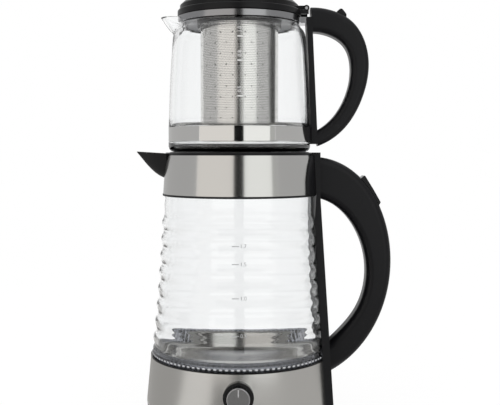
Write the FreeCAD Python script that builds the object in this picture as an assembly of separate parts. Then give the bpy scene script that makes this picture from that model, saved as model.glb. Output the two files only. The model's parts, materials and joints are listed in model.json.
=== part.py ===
import FreeCAD, Part
import math
import os

from FreeCAD import Vector

# Automatic tea maker: a power base, a glass kettle on it, a glass teapot on the kettle, and an
# infuser basket in the teapot. Millimetres, Z up. The origin is on the table under the kettle's
# axis. The spout points along -X, both handles along +X, and the knob faces -Y.

# Clearances and wall sizes. FAR reaches well past the object, for shapes that only cut or trim.
FAR = 150.0
MOVING_GAP = 0.3
SHAFT_GAP = 0.05
SEAT_GAP = 0.1
MOULDED_WALL = 2.5
SHEET = 0.8

# Power base
FOOT_HEIGHT = 2.0
FOOT_INNER_R = 62.0
FOOT_OUTER_R = 72.0
BASE_OUTER_R = 80.0
BASE_HEIGHT = 18.0
BASE_EDGE_ROUND = 3.5
BOTTOM_PLATE_THICK = 2.0
PLATEAU_R = 60.0
PLATEAU_RISE = 2.5
BASE_SCREW_CIRCLE_R = 45.0
BASE_SCREW_COUNT = 3
SCREW_SHANK_R = 1.3
SCREW_HEAD_R = 3.0
SCREW_HEAD_THICK = 1.2
SCREW_BOSS_R = 4.0
GLAND_BORE_R = 3.6
GLAND_OUTER_R = 5.4
GLAND_FLANGE_R = 5.6
GLAND_HEIGHT = 9.8
GLAND_LENGTH = 10.0
GLAND_FLANGE_THICK = 2.5
GLAND_PROUD = 1.5

# Connector column on the base and socket in the kettle
COLUMN_R = 9.0
COLUMN_ROOT_R = 15.0
COLUMN_FLANGE_R = 22.0
COLUMN_FLANGE_THICK = 3.0
COLUMN_HEIGHT = 13.0
COLUMN_BORE_R = 3.2
CONTACT_PIN_R = 1.2
CONTACT_RING_DEPTH = 0.6
CONTACT_RING_PROUD = 0.2
CONTACT_RING_HEIGHT = 2.0
CONTACT_RING_RISES = (4.0, 9.0)
SOCKET_GAP = 0.7
SOCKET_OUTER_R = 21.0
SOCKET_FLANGE_R = 30.0
SOCKET_ROOF = 4.0

# Kettle base
SHELL_BOTTOM_R = 83.3
FOOT_RING_R = SHELL_BOTTOM_R - 0.5
FOOT_RING_THICK = 3.2
SHELL_BOTTOM_Z = 21.4
SHELL_TOP_R = SHELL_BOTTOM_R - 3.9
SHELL_TOP_Z = 62.2
SHELL_LIP = 1.6
FRAME_TUBE_R = SHELL_TOP_R - 3.4
FRAME_FLANGE_THICK = 2.0
FRAME_SCREW_CIRCLE_R = FRAME_TUBE_R - 7.0
FRAME_SCREW_ANGLES = (90.0, 210.0, 330.0)
FRAME_BOSS_HEIGHT = 14.0
TRIM_HEIGHT = 1.2
TRIM_INNER_R = FRAME_TUBE_R + 0.8
LIGHT_SLOT_HALF = 3.0
LIGHT_RING_R = FRAME_TUBE_R + 2.2
LIGHT_RING_BORE_R = FRAME_TUBE_R - 0.4
LIGHT_RING_TOP_Z = 70.7
LIGHT_RING_RIBS = 100
LIGHT_RIB_DEPTH = 0.7
LIGHT_UPPER_STEP = 0.7
LAMP_COUNT = 12
LAMP_SIZE = 1.4
LAMP_STRIP_THICK = 0.6
LAMP_STRIP_HEIGHT = 6.0
LAMP_STRIP_Z = 50.0
DISH_FLOOR_Z = 54.0
DISH_FLANGE_R = FRAME_TUBE_R - 0.8
DISH_WALL_R = DISH_FLANGE_R - 7.7
DISH_FLOOR_R = DISH_WALL_R - 3.5
DISH_ROUND = 4.0
GASKET_THICK = 2.0
SPREADER_R = DISH_FLOOR_R - 6.0
SPREADER_THICK = 3.2
ELEMENT_CIRCLE_R = 42.0
ELEMENT_TUBE_R = 3.8
ELEMENT_SWEEP = 300.0
ELEMENT_TAIL_R = 1.6
ELEMENT_TAIL_LENGTH = 6.0
SENSOR_R = 5.0
SENSOR_HEIGHT = 5.0
BOARD_WIDTH = 48.0
BOARD_Y = 10.0 - FRAME_TUBE_R
BOARD_THICK = 1.6
BOARD_BOTTOM_Z = 28.0
BOARD_TOP_Z = 56.0
BOARD_POST = 5.0
BOARD_POST_INSET = 3.0
BOARD_BLOCKS = (
    ((-20.0, 30.0), (16.0, 14.0, 12.0)),
    ((4.0, 30.0), (16.0, 15.0, 14.0)),
    ((4.0, 46.5), (10.0, 5.5, 1.5)),
)
CAPACITOR_R = 3.4
CAPACITOR_LENGTH = 5.0
CAPACITOR_X = -12.0
CAPACITOR_Z = 48.4

# Knob
KNOB_Z = 44.4
KNOB_R = 9.5
KNOB_DEPTH = 6.5
KNOB_FACE_Y = -(SHELL_BOTTOM_R + 6.7)
KNOB_EDGE_ROUND = 0.8
KNOB_GRIP_NOTCHES = 24
KNOB_NOTCH_R = 0.45
BEZEL_R = 12.6
BEZEL_FACE_Y = -(SHELL_BOTTOM_R + 1.7)
BEZEL_BOSS_R = 10.6
BEZEL_DEPTH = 7.0
SPINDLE_R = 3.0
SELECTOR_SIZE = 13.0
SELECTOR_DEPTH = 5.2
SELECTOR_NOSE_R = 4.5
SELECTOR_NOSE_LENGTH = 4.8

# Rippled glass of the kettle: crest radii follow a gentle parabola, one ripple every pitch
GLASS_WALL = 2.5
GLASS_FOOT_R = FRAME_TUBE_R - 1.2
RIPPLE_FIRST_Z = 78.7
RIPPLE_FIRST_R = GLASS_FOOT_R + 2.5
RIPPLE_TAPER = 0.1076
RIPPLE_FLARE = 0.000266
RIPPLE_PITCH = 14.6
RIPPLE_DEPTH = 2.0
RIPPLE_COUNT = 8
NECK_BOTTOM_Z = 199.0
NECK_BOTTOM_R = 66.5
NECK_TOP_Z = 226.0
NECK_TOP_R = NECK_BOTTOM_R - 1.3

# Kettle top
COLLAR_BOTTOM_R = NECK_BOTTOM_R + 1.4
COLLAR_BOTTOM_Z = NECK_BOTTOM_Z + 7.2
COLLAR_TOP_R = NECK_TOP_R + 0.5
COLLAR_TOP_Z = NECK_TOP_Z + 14.0
COLLAR_GASKET_BELOW = 1.8
COLLAR_GASKET_INSIDE = 6.0
RIM_TOP_Z = COLLAR_TOP_Z + 2.5
RIM_OVERHANG = 0.2
RIM_SKIRT_R = COLLAR_TOP_R - 1.3
RIM_BORE_R = RIM_SKIRT_R - 2.0
LID_LEDGE_R = RIM_BORE_R - 2.0
LID_LEDGE_Z = COLLAR_TOP_Z - 6.0
LID_LEDGE_THICK = 2.5
STRAINER_SLOTS = 7
STRAINER_SLOT_WIDTH = 2.4
STRAINER_STEP = 3.6
STRAINER_BOTTOM_Z = LID_LEDGE_Z + 1.2
STRAINER_TOP_Z = COLLAR_TOP_Z - 1.0
COLLAR_WINDOW_BELOW = 5.0
SPOUT_TIP_X = -91.3
SPOUT_TIP_Z = 243.4
SPOUT_ROOT_X = -63.0
SPOUT_ROOT_HALF = 24.5
SPOUT_ROOT_Z = 219.0
SPOUT_WALL = 1.8
SPOUT_BULGE = 0.62
SPOUT_BULGE_RISE = 0.45
# Along the spout from the collar (0) to the tip (1): share of the length, of the width, and of the drop
SPOUT_STATIONS = ((0.0, 1.0, 0.0), (0.3, 0.75, 0.13), (0.6, 0.45, 0.42), (0.85, 0.18, 0.76), (1.0, 0.04, 0.97))
SADDLE_THICK = 2.0
SADDLE_TOP_HALF = 22.0
SADDLE_MID_HALF = 33.0
SADDLE_MID_Z = 223.6
SADDLE_LOW_HALF = 35.5

# Strap of the kettle handle: a flat outer face, an inner face that hugs the body
STRAP_BOTTOM_Z = SHELL_BOTTOM_Z
STRAP_KINK_Z = 202.0
STRAP_TOP_FACE_X = COLLAR_TOP_R + 5.2
STRAP_BOTTOM_FACE_X = SHELL_BOTTOM_R - 1.5
STRAP_TOP_HALF = 17.0
STRAP_BOTTOM_HALF = 36.0
STRAP_CORE_R = FRAME_TUBE_R + 2.7
STRAP_TRIM_X = 40.0
STRAP_SCREW_Z = 52.0
STRAP_UPPER_SCREW_Z = 212.0
HANDLE_SCREW_SIDES = (-8.0, 8.0)
UPPER_SCREW_DEPTH = 2.2
UPPER_SCREW_CONE = 1.8
STRAP_BOSS_R = 5.0

# Kettle handle: outer and inner side of the loop, (x, z) from the strap's upper end to its lower end
HANDLE_WIDTH = 24.0
HANDLE_ROUND = 6.5
HANDLE_OUTER = ((94.1, 230.6), (113.0, 214.0), (126.5, 190.0), (134.6, 144.3), (125.6, 99.0), (106.0, 67.1))
HANDLE_INNER = ((88.1, 192.9), (103.5, 173.5), (112.6, 140.0), (105.8, 105.5), (90.5, 84.5))
HANDLE_TOP_Z = 238.4
HANDLE_INNER_TOP_Z = 201.8
HANDLE_BOTTOM_Z = 46.6
HANDLE_INNER_BOTTOM_Z = 73.0
HANDLE_ROOT_WALL = 6.0
HANDLE_SEAM_DEPTH = 10.5
SEAM_REACH = 60.0
HANDLE_ROOT_BACK = 20.0

# Lid release button on the kettle handle, and the rod that it pushes towards the lid
BUTTON_WIDTH = 15.0
BUTTON_OUTLINE = (
    (106.2, 218.6),
    (110.9, 222.6, 1.0),
    (118.6, 210.2),
    (125.3, 198.4, 1.5),
    (122.0, 193.0),
    (116.5, 196.0),
    (106.5, 211.5),
)
BUTTON_PIVOT_X = 120.2
BUTTON_PIVOT_Z = 194.6
BUTTON_PIN_R = 1.5
BUTTON_EYE_R = 3.2
BUTTON_EAR_R = 3.6
BUTTON_EAR_INSET = 1.5
SPRING_OUTER_R = 2.5
SPRING_LENGTH = 5.0
BUTTON_TRAVEL = 7.0
ROD_WIDTH = 8.0
ROD_THICK = 3.0
ROD_BOTTOM_Z = LID_LEDGE_Z - 4.5
ROD_TRAVEL = 2.5
ROD_NOSE_GAP = 0.9
ROD_LOW_Z = 207.0
ROD_TAIL_X = 102.5

# Kettle lid
LID_R = RIM_BORE_R - 0.5
LID_TOP_Z = RIM_TOP_Z + 0.5
LID_FLANGE_THICK = 3.0
LID_PLUG_R = LID_LEDGE_R - 1.0
LID_PLUG_Z = LID_LEDGE_Z - 5.0
LID_WELL_R = 24.0
LID_WELL_DEPTH = 10.0
LID_GRIP_WIDTH = 12.0
LID_GRIP_THICK = 4.0
LID_GRIP_SUNK = 0.5
LID_WALL = 2.0
LID_PLATE_THICK = 1.0
LID_VENT_R = 1.5
LID_VENT_CIRCLE_R = 40.0
LID_VENT_COUNT = 8
LID_GASKET_HEIGHT = 2.0

# Teapot glass
TEAPOT_BOTTOM_Z = LID_TOP_Z
TEAPOT_FLOOR_THICK = 3.6
TEAPOT_FOOT_ROUND = 4.5
TEAPOT_WALL = 2.2
TEAPOT_LOW_R = 62.9
TEAPOT_BAND_R = 62.3
TEAPOT_BAND_BOTTOM_Z = 252.1
TEAPOT_BAND_TOP_Z = 264.5
TEAPOT_BAND_PROUD = 0.65
TEAPOT_MID_R = 60.1
TEAPOT_MID_Z = 323.7
TEAPOT_SIDE_ROUND = 400.0
TEAPOT_SHOULDER_R = 58.4
TEAPOT_SHOULDER_Z = 346.0
TEAPOT_SHOULDER_ROUND = 7.0
TEAPOT_NECK_R = 53.0
TEAPOT_NECK_Z = 353.5
TEAPOT_TOP_Z = 361.0
LIP_REACH = 68.9
LIP_BOTTOM_Z = 347.5
LIP_HALF = 11.0
NECK_RING_BOTTOM_Z = 355.5
NECK_RING_TOP_Z = 360.5
NECK_RING_THICK = 1.6

# Teapot handle
POT_STRAP_TOP_Z = 360.5
POT_STRAP_BOTTOM_Z = 250.0
POT_STRAP_TOP_FACE_X = 63.6
POT_STRAP_BOTTOM_FACE_X = 69.0
POT_STRAP_THICK = 4.0
POT_STRAP_HALF = 11.0
BAND_CLAMP_HALF = 21.0
BAND_CLAMP_THICK = 1.6
POT_HANDLE_WIDTH = 20.0
POT_HANDLE_ROUND = 5.0
POT_HANDLE_OUTER = ((83.6, 366.2), (99.5, 357.0), (110.3, 340.1), (114.0, 319.0), (109.0, 292.0), (94.8, 266.0))
POT_HANDLE_INNER = ((78.0, 345.6), (92.5, 335.8), (98.1, 317.2), (94.2, 293.5), (82.5, 273.2))
POT_HANDLE_TOP_Z = 369.4
POT_HANDLE_INNER_TOP_Z = 348.0
POT_HANDLE_BOTTOM_Z = 248.0
POT_HANDLE_INNER_BOTTOM_Z = 262.0
POT_HANDLE_HEAD_X = 62.4
POT_HANDLE_SEAM_DEPTH = 5.5
POT_HANDLE_ROOT_WALL = 4.0
POT_BUTTON_X = 89.6
POT_BUTTON_LENGTH = 9.0
POT_BUTTON_WIDTH = 10.0
POT_BUTTON_TOP_Z = 369.6
POT_BUTTON_TRAVEL = 1.8
POT_BUTTON_HEIGHT = 9.0

# Infuser
INFUSER_FLANGE_R = 54.4
INFUSER_TOP_Z = 366.8
INFUSER_PLUG_R = TEAPOT_NECK_R - TEAPOT_WALL - 0.4
POUR_WINDOW_HALF = 8.0
INFUSER_PLUG_BOTTOM_Z = 354.5
INFUSER_PLUG_WALL = 2.0
INFUSER_GROOVE_DEPTH = 1.2
GROOVE_BOTTOM_Z = 356.7
GROOVE_TOP_Z = 359.1
PLATE_Z = 355.5
PLATE_THICK = 1.2
SOCKET_RING_R = 37.2
SOCKET_RING_BOTTOM_Z = 352.5
SOCKET_RING_TOP_Z = 365.0
BASKET_R = 34.4
BASKET_BOTTOM_Z = 250.6
BASKET_TOP_Z = 366.0
BASKET_SHEET = 0.6
BASKET_BEAD_R = 36.4
BASKET_HOLE_R = 0.7
BASKET_HOLES_ROUND = 20
BASKET_HOLE_ROWS = 10
BASKET_HOLES_BOTTOM_Z = 262.0
BASKET_HOLES_TOP_Z = 345.0
FLOOR_HOLE_RINGS = (8.0, 16.0, 24.0)
FLOOR_HOLES_PER_R = 0.75

# Teapot lid
POT_LID_R = 52.3
POT_LID_GAP = 0.2
POT_LID_EDGE_Z = 370.9
POT_LID_SLOPE_R = 45.9
POT_LID_SLOPE_Z = 376.8
POT_LID_TOP_Z = 383.5
POT_LID_WALL = 2.2
POT_LID_CROWN_ROUND = 90.0
POT_LINER_THICK = 1.8
HINGE_X = 58.6
HINGE_Z = 368.2
HINGE_PIN_R = 1.25
HINGE_KNUCKLE_R = 2.6
HINGE_KNUCKLE_HALF = 7.0
HINGE_EAR_THICK = 4.0

Z_AXIS = Vector(0, 0, 1)


def vertical(across, height):
    """A point of the XZ plane."""
    return Vector(across, 0, height)


def outward(solid):
    """The solid with its faces turned outward."""
    if solid.Volume < 0:
        solid.reverse()
    return solid


def outline_edges(corners, place):
    """Edges of a closed outline. A corner is (a, b), or (a, b, radius) where it is rounded."""
    count = len(corners)
    starts = []
    ends = []
    arcs = []
    for index, corner in enumerate(corners):
        here = place(corner[0], corner[1])
        if len(corner) == 2 or corner[2] <= 0:
            starts.append(here)
            ends.append(here)
            arcs.append(None)
            continue
        before = corners[index - 1]
        after = corners[(index + 1) % count]
        back = (place(before[0], before[1]) - here).normalize()
        onward = (place(after[0], after[1]) - here).normalize()
        half = math.acos(max(-1.0, min(1.0, back.dot(onward)))) / 2
        run = corner[2] / math.tan(half)
        middle = (back + onward).normalize() * (corner[2] / math.sin(half) - corner[2])
        starts.append(here + back * run)
        ends.append(here + onward * run)
        arcs.append(Part.Arc(starts[-1], here + middle, ends[-1]).toShape())
    edges = []
    for index in range(count):
        if arcs[index]:
            edges.append(arcs[index])
        following = starts[(index + 1) % count]
        if (following - ends[index]).Length > 1e-6:
            edges.append(Part.LineSegment(ends[index], following).toShape())
    return edges


def curve(points, place=vertical):
    """A smooth edge through the points."""
    line = Part.BSplineCurve()
    line.interpolate([place(a, b) for a, b in points])
    return line.toShape()


def face_of(edges):
    return Part.Face(Part.Wire(Part.__sortEdges__(edges)))


def lathe(corners, angle=360.0):
    """Turn a closed (radius, height) outline about Z."""
    face = face_of(outline_edges(corners, vertical))
    return outward(face.revolve(Vector(), Z_AXIS, angle))


def lathe_edges(edges):
    return outward(face_of(edges).revolve(Vector(), Z_AXIS, 360.0))


def ring(outer_r, inner_r, bottom, top):
    return lathe([(inner_r, bottom), (outer_r, bottom), (outer_r, top), (inner_r, top)])


def disc(radius, bottom, top):
    return Part.makeCylinder(radius, top - bottom, Vector(0, 0, bottom))


def side_prism(corners, half_width):
    """An (x, z) outline made thick along Y, both ways from the middle."""
    face = face_of(outline_edges(corners, lambda x, z: Vector(x, -half_width, z)))
    return outward(face.extrude(Vector(0, 2 * half_width, 0)))


def front_prism(corners, near_x, far_x):
    """A (y, z) outline made thick along X."""
    face = face_of(outline_edges(corners, lambda y, z: Vector(near_x, y, z)))
    return outward(face.extrude(Vector(far_x - near_x, 0, 0)))


def block(low, high):
    size = [b - a for a, b in zip(low, high)]
    return Part.makeBox(size[0], size[1], size[2], Vector(*low))


def rod(radius, start, end):
    """A round bar from one point to another."""
    along = Vector(*end) - Vector(*start)
    return Part.makeCylinder(radius, along.Length, Vector(*start), along)


def around(shape, count, first=0.0):
    """Copies of a shape evenly spaced about Z."""
    copies = []
    for index in range(count):
        copy = shape.copy()
        copy.rotate(Vector(), Z_AXIS, first + 360.0 * index / count)
        copies.append(copy)
    return copies


def joined(shapes):
    whole = shapes[0]
    if len(shapes) > 1:
        whole = whole.fuse(shapes[1:])
    return whole.removeSplitter()


def write(node, shape):
    """Save one sub-part; identical pieces are a group of solids in one file."""
    solids = shape if isinstance(shape, list) else [shape]
    pieces = [solid for each in solids for solid in each.Solids]
    result = pieces[0] if len(pieces) == 1 else Part.makeCompound(pieces)
    if not result.isValid():
        print("not valid:", node)
    result.exportStep(os.path.join("parts", node + ".step"))
    box = result.BoundBox
    print(f"{node}: {len(pieces)} solid, {result.Volume / 1000:.2f} cm3, z {box.ZMin:.1f} to {box.ZMax:.1f}")


# Radii of the turned walls at a height

def between(z, low_z, low_value, high_z, high_value):
    share = (z - low_z) / (high_z - low_z)
    return low_value + share * (high_value - low_value)


def shell_r(z):
    return between(z, SHELL_BOTTOM_Z, SHELL_BOTTOM_R, SHELL_TOP_Z, SHELL_TOP_R)


def collar_r(z):
    return between(z, COLLAR_BOTTOM_Z, COLLAR_BOTTOM_R, COLLAR_TOP_Z, COLLAR_TOP_R)


def ripple_crest_r(z):
    rise = z - RIPPLE_FIRST_Z
    return RIPPLE_FIRST_R - RIPPLE_TAPER * rise + RIPPLE_FLARE * rise * rise


def strap_face_x(z):
    """The flat outer face of the kettle's handle strap."""
    if z >= STRAP_KINK_Z:
        return STRAP_TOP_FACE_X
    return between(z, STRAP_BOTTOM_Z, STRAP_BOTTOM_FACE_X, STRAP_KINK_Z, STRAP_TOP_FACE_X)


def pot_strap_face_x(z):
    return between(z, POT_STRAP_BOTTOM_Z, POT_STRAP_BOTTOM_FACE_X, POT_STRAP_TOP_Z, POT_STRAP_TOP_FACE_X)


# Heights that follow from the driving dimensions
BOTTOM_PLATE_TOP = FOOT_HEIGHT + BOTTOM_PLATE_THICK
BASE_ROOF_Z = BASE_HEIGHT - MOULDED_WALL
PLATEAU_TOP = BASE_HEIGHT + PLATEAU_RISE
PLATEAU_ROOF_Z = PLATEAU_TOP - MOULDED_WALL
COLUMN_BASE_Z = PLATEAU_TOP
COLUMN_TOP_Z = COLUMN_BASE_Z + COLUMN_HEIGHT
COVER_RECESS_Z = PLATEAU_TOP + MOVING_GAP
COVER_TOP_Z = COVER_RECESS_Z + MOULDED_WALL
FRAME_TOP_Z = SHELL_TOP_Z - SEAT_GAP
FRAME_FLANGE_R = SHELL_TOP_R - SHEET - SEAT_GAP
TRIM_TOP_Z = SHELL_TOP_Z + TRIM_HEIGHT
DISH_FLANGE_Z = FRAME_TOP_Z + SHEET
GLASS_BOTTOM_Z = DISH_FLANGE_Z + GASKET_THICK
SPREADER_TOP_Z = DISH_FLOOR_Z - SHEET
SPREADER_BOTTOM_Z = SPREADER_TOP_Z - SPREADER_THICK


# Power base

def screw(x, y, head_z, tip_z):
    """A pan-head screw that points up from head_z."""
    head = Part.makeCylinder(SCREW_HEAD_R, SCREW_HEAD_THICK, Vector(x, y, head_z))
    shank = Part.makeCylinder(SCREW_SHANK_R, tip_z - head_z, Vector(x, y, head_z))
    return joined([head, shank])


def screw_hole(x, y, face_z, sink, through_z):
    """Clearance hole from face_z up, with a sinking for the screw's head."""
    shank = Part.makeCylinder(SCREW_SHANK_R + MOVING_GAP, through_z - face_z, Vector(x, y, face_z))
    head = Part.makeCylinder(SCREW_HEAD_R + MOVING_GAP, sink, Vector(x, y, face_z))
    return joined([shank, head])


def base_screw_places():
    for index in range(BASE_SCREW_COUNT):
        angle = math.radians(30.0 + 360.0 * index / BASE_SCREW_COUNT)
        yield BASE_SCREW_CIRCLE_R * math.cos(angle), BASE_SCREW_CIRCLE_R * math.sin(angle)


def power_base_cover():
    inner_r = BASE_OUTER_R - MOULDED_WALL
    cover = lathe(
        [
            (BASE_OUTER_R, FOOT_HEIGHT),
            (BASE_OUTER_R, BASE_HEIGHT, BASE_EDGE_ROUND),
            (PLATEAU_R, BASE_HEIGHT),
            (PLATEAU_R, PLATEAU_TOP, 1.0),
            (COLUMN_ROOT_R, PLATEAU_TOP),
            (COLUMN_ROOT_R, PLATEAU_ROOF_Z),
            (PLATEAU_R - MOULDED_WALL, PLATEAU_ROOF_Z),
            (PLATEAU_R - MOULDED_WALL, BASE_ROOF_Z),
            (inner_r, BASE_ROOF_Z),
            (inner_r, FOOT_HEIGHT),
        ]
    )
    bosses = [
        Part.makeCylinder(SCREW_BOSS_R, PLATEAU_TOP - 1 - BOTTOM_PLATE_TOP, Vector(x, y, BOTTOM_PLATE_TOP))
        for x, y in base_screw_places()
    ]
    cover = joined([cover] + bosses)
    for x, y in base_screw_places():
        cover = cover.cut(Part.makeCylinder(SCREW_SHANK_R, BASE_ROOF_Z, Vector(x, y, 0)))
    start = (0, BASE_OUTER_R - GLAND_LENGTH, GLAND_HEIGHT)
    return cover.cut(rod(GLAND_OUTER_R + SEAT_GAP, start, (0, FAR, GLAND_HEIGHT)))


def power_base_bottom():
    plate = disc(BASE_OUTER_R - MOULDED_WALL - SEAT_GAP, FOOT_HEIGHT, BOTTOM_PLATE_TOP)
    support_r = COLUMN_FLANGE_R - 1
    support = ring(support_r, support_r - MOULDED_WALL, BOTTOM_PLATE_TOP, PLATEAU_ROOF_Z - COLUMN_FLANGE_THICK)
    plate = joined([plate, support])
    for x, y in base_screw_places():
        plate = plate.cut(screw_hole(x, y, FOOT_HEIGHT, SCREW_HEAD_THICK, BOTTOM_PLATE_TOP))
    return plate


def base_screws():
    return [screw(x, y, FOOT_HEIGHT, BASE_ROOF_Z) for x, y in base_screw_places()]


def foot_ring():
    return ring(FOOT_OUTER_R, FOOT_INNER_R, 0, FOOT_HEIGHT)


def ring_grooves():
    """Outlines (bottom, top) of the two contact rings on the column."""
    return [(COLUMN_BASE_Z + rise, COLUMN_BASE_Z + rise + CONTACT_RING_HEIGHT) for rise in CONTACT_RING_RISES]


def base_connector():
    column = lathe(
        [
            (COLUMN_BORE_R, PLATEAU_ROOF_Z),
            (COLUMN_BORE_R, COLUMN_TOP_Z),
            (COLUMN_R, COLUMN_TOP_Z, 1.0),
            (COLUMN_R, COLUMN_BASE_Z),
            (COLUMN_ROOT_R - SEAT_GAP, COLUMN_BASE_Z),
            (COLUMN_ROOT_R - SEAT_GAP, PLATEAU_ROOF_Z),
            (COLUMN_FLANGE_R, PLATEAU_ROOF_Z),
            (COLUMN_FLANGE_R, PLATEAU_ROOF_Z - COLUMN_FLANGE_THICK),
            (0, PLATEAU_ROOF_Z - COLUMN_FLANGE_THICK),
            (0, PLATEAU_ROOF_Z),
        ]
    )
    for bottom, top in ring_grooves():
        column = column.cut(ring(COLUMN_R + 1, COLUMN_R - CONTACT_RING_DEPTH, bottom, top))
    return column


def base_contacts():
    rings = [
        ring(COLUMN_R + CONTACT_RING_PROUD, COLUMN_R - CONTACT_RING_DEPTH, bottom, top)
        for bottom, top in ring_grooves()
    ]
    pin = disc(CONTACT_PIN_R, PLATEAU_ROOF_Z, COLUMN_TOP_Z - 1)
    return rings + [pin]


def cord_gland():
    back = BASE_OUTER_R + GLAND_PROUD
    wall_r = math.sqrt((BASE_OUTER_R - MOULDED_WALL) ** 2 - GLAND_FLANGE_R**2)
    flange_y = wall_r - SEAT_GAP
    front = back - GLAND_LENGTH
    body = rod(GLAND_OUTER_R, (0, front, GLAND_HEIGHT), (0, back, GLAND_HEIGHT))
    flange_start = (0, flange_y - GLAND_FLANGE_THICK, GLAND_HEIGHT)
    flange = rod(GLAND_FLANGE_R, flange_start, (0, flange_y, GLAND_HEIGHT))
    bore = rod(GLAND_BORE_R, (0, front - 1, GLAND_HEIGHT), (0, back + 1, GLAND_HEIGHT))
    return joined([body, flange]).cut(bore)


# Kettle base

def strap_half(z):
    return between(z, STRAP_BOTTOM_Z, STRAP_BOTTOM_HALF, COLLAR_TOP_Z, STRAP_TOP_HALF)


def strap_front(bottom, top, extra=0.0):
    """The strap's outline seen along X, wider at the base, made thick along X."""
    low = strap_half(bottom) + extra
    high = strap_half(top) + extra
    corners = [(-low, bottom), (low, bottom), (high, top), (-high, top)]
    return front_prism(corners, STRAP_TRIM_X, FAR)


def bottom_cover():
    hole_r = SOCKET_OUTER_R + 1.0
    cover = lathe(
        [
            (hole_r, COVER_RECESS_Z),
            (PLATEAU_R + 2, COVER_RECESS_Z),
            (PLATEAU_R + 2, BASE_HEIGHT),
            (FOOT_RING_R, BASE_HEIGHT, 0.8),
            (FOOT_RING_R, BASE_HEIGHT + FOOT_RING_THICK),
            (FRAME_TUBE_R + 1, BASE_HEIGHT + FOOT_RING_THICK),
            (FRAME_TUBE_R + 1, COVER_TOP_Z),
            (hole_r, COVER_TOP_Z),
        ]
    )
    for x, y in frame_screw_places():
        cover = cover.cut(screw_hole(x, y, BASE_HEIGHT, SCREW_HEAD_THICK + MOVING_GAP, COVER_TOP_Z))
    return cover


def frame_screw_places():
    for degrees in FRAME_SCREW_ANGLES:
        angle = math.radians(degrees)
        yield FRAME_SCREW_CIRCLE_R * math.cos(angle), FRAME_SCREW_CIRCLE_R * math.sin(angle)


def bottom_screws():
    head_z = BASE_HEIGHT + MOVING_GAP
    return [screw(x, y, head_z, COVER_TOP_Z + FRAME_BOSS_HEIGHT - 2) for x, y in frame_screw_places()]


def base_frame():
    tube_inner = FRAME_TUBE_R - MOULDED_WALL
    flange_z = FRAME_TOP_Z - FRAME_FLANGE_THICK
    frame = lathe(
        [
            (FRAME_TUBE_R, COVER_TOP_Z),
            (FRAME_TUBE_R, flange_z),
            (FRAME_FLANGE_R, flange_z),
            (FRAME_FLANGE_R, FRAME_TOP_Z),
            (DISH_WALL_R + 1.5, FRAME_TOP_Z),
            (DISH_WALL_R + 1.5, flange_z),
            (tube_inner, flange_z),
            (tube_inner, COVER_TOP_Z),
        ]
    )
    bosses = []
    for x, y in frame_screw_places():
        boss = Part.makeCylinder(SCREW_BOSS_R, FRAME_BOSS_HEIGHT, Vector(x, y, COVER_TOP_Z))
        web = block(
            (FRAME_SCREW_CIRCLE_R, -1.5, COVER_TOP_Z), (tube_inner + 1, 1.5, COVER_TOP_Z + FRAME_BOSS_HEIGHT)
        )
        web.rotate(Vector(), Z_AXIS, math.degrees(math.atan2(y, x)))
        bosses += [boss, web]
    for side in (-1, 1):
        middle = side * (BOARD_WIDTH / 2 - BOARD_POST)
        post = block(
            (middle - BOARD_POST / 2, -FRAME_TUBE_R, BOARD_BOTTOM_Z + BOARD_POST_INSET),
            (middle + BOARD_POST / 2, BOARD_Y - BOARD_THICK, BOARD_TOP_Z - BOARD_POST_INSET),
        )
        bosses.append(post.common(disc(tube_inner + 1, COVER_TOP_Z, FRAME_TOP_Z)))
    frame = joined([frame] + bosses)
    for x, y in frame_screw_places():
        frame = frame.cut(Part.makeCylinder(SCREW_SHANK_R, FRAME_BOSS_HEIGHT - 2, Vector(x, y, COVER_TOP_Z)))
    light_slot = block(
        (FRAME_TUBE_R + 0.2, -LIGHT_SLOT_HALF, flange_z - 1), (TRIM_INNER_R, LIGHT_SLOT_HALF, FRAME_TOP_Z + 1)
    )
    frame = frame.cut(around(light_slot, LAMP_COUNT, 180.0 / LAMP_COUNT))
    frame = frame.cut(knob_bore(SELECTOR_NOSE_R + SEAT_GAP))
    return frame.cut([lower_screw_way(y, SCREW_SHANK_R + SEAT_GAP) for y in HANDLE_SCREW_SIDES])


def lower_screw_way(y, radius):
    """The bore for a lower handle screw."""
    return rod(radius, (STRAP_TRIM_X, y, STRAP_SCREW_Z), (FAR, y, STRAP_SCREW_Z))


def knob_bore(radius):
    return rod(radius, (0, BOARD_Y, KNOB_Z), (0, KNOB_FACE_Y - 5, KNOB_Z))


def base_shell():
    shell = lathe(
        [
            (SHELL_BOTTOM_R - SHEET - SHELL_LIP, SHELL_BOTTOM_Z),
            (SHELL_BOTTOM_R, SHELL_BOTTOM_Z),
            (SHELL_TOP_R, SHELL_TOP_Z),
            (SHELL_TOP_R - SHEET, SHELL_TOP_Z),
            (SHELL_BOTTOM_R - SHEET, SHELL_BOTTOM_Z + SHEET),
            (SHELL_BOTTOM_R - SHEET - SHELL_LIP, SHELL_BOTTOM_Z + SHEET),
        ]
    )
    shell = shell.cut(strap_front(STRAP_BOTTOM_Z - 1, SHELL_TOP_Z + 1, SEAT_GAP))
    return shell.cut(knob_bore(BEZEL_BOSS_R + SEAT_GAP))


def trim_ring():
    trim = ring(SHELL_TOP_R + SEAT_GAP, TRIM_INNER_R, SHELL_TOP_Z, TRIM_TOP_Z)
    slot = strap_front(SHELL_TOP_Z - 1, TRIM_TOP_Z + 1, SEAT_GAP)
    return trim.cut(slot.cut(disc(STRAP_CORE_R - SEAT_GAP, 0, TRIM_TOP_Z + 2)))


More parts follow.
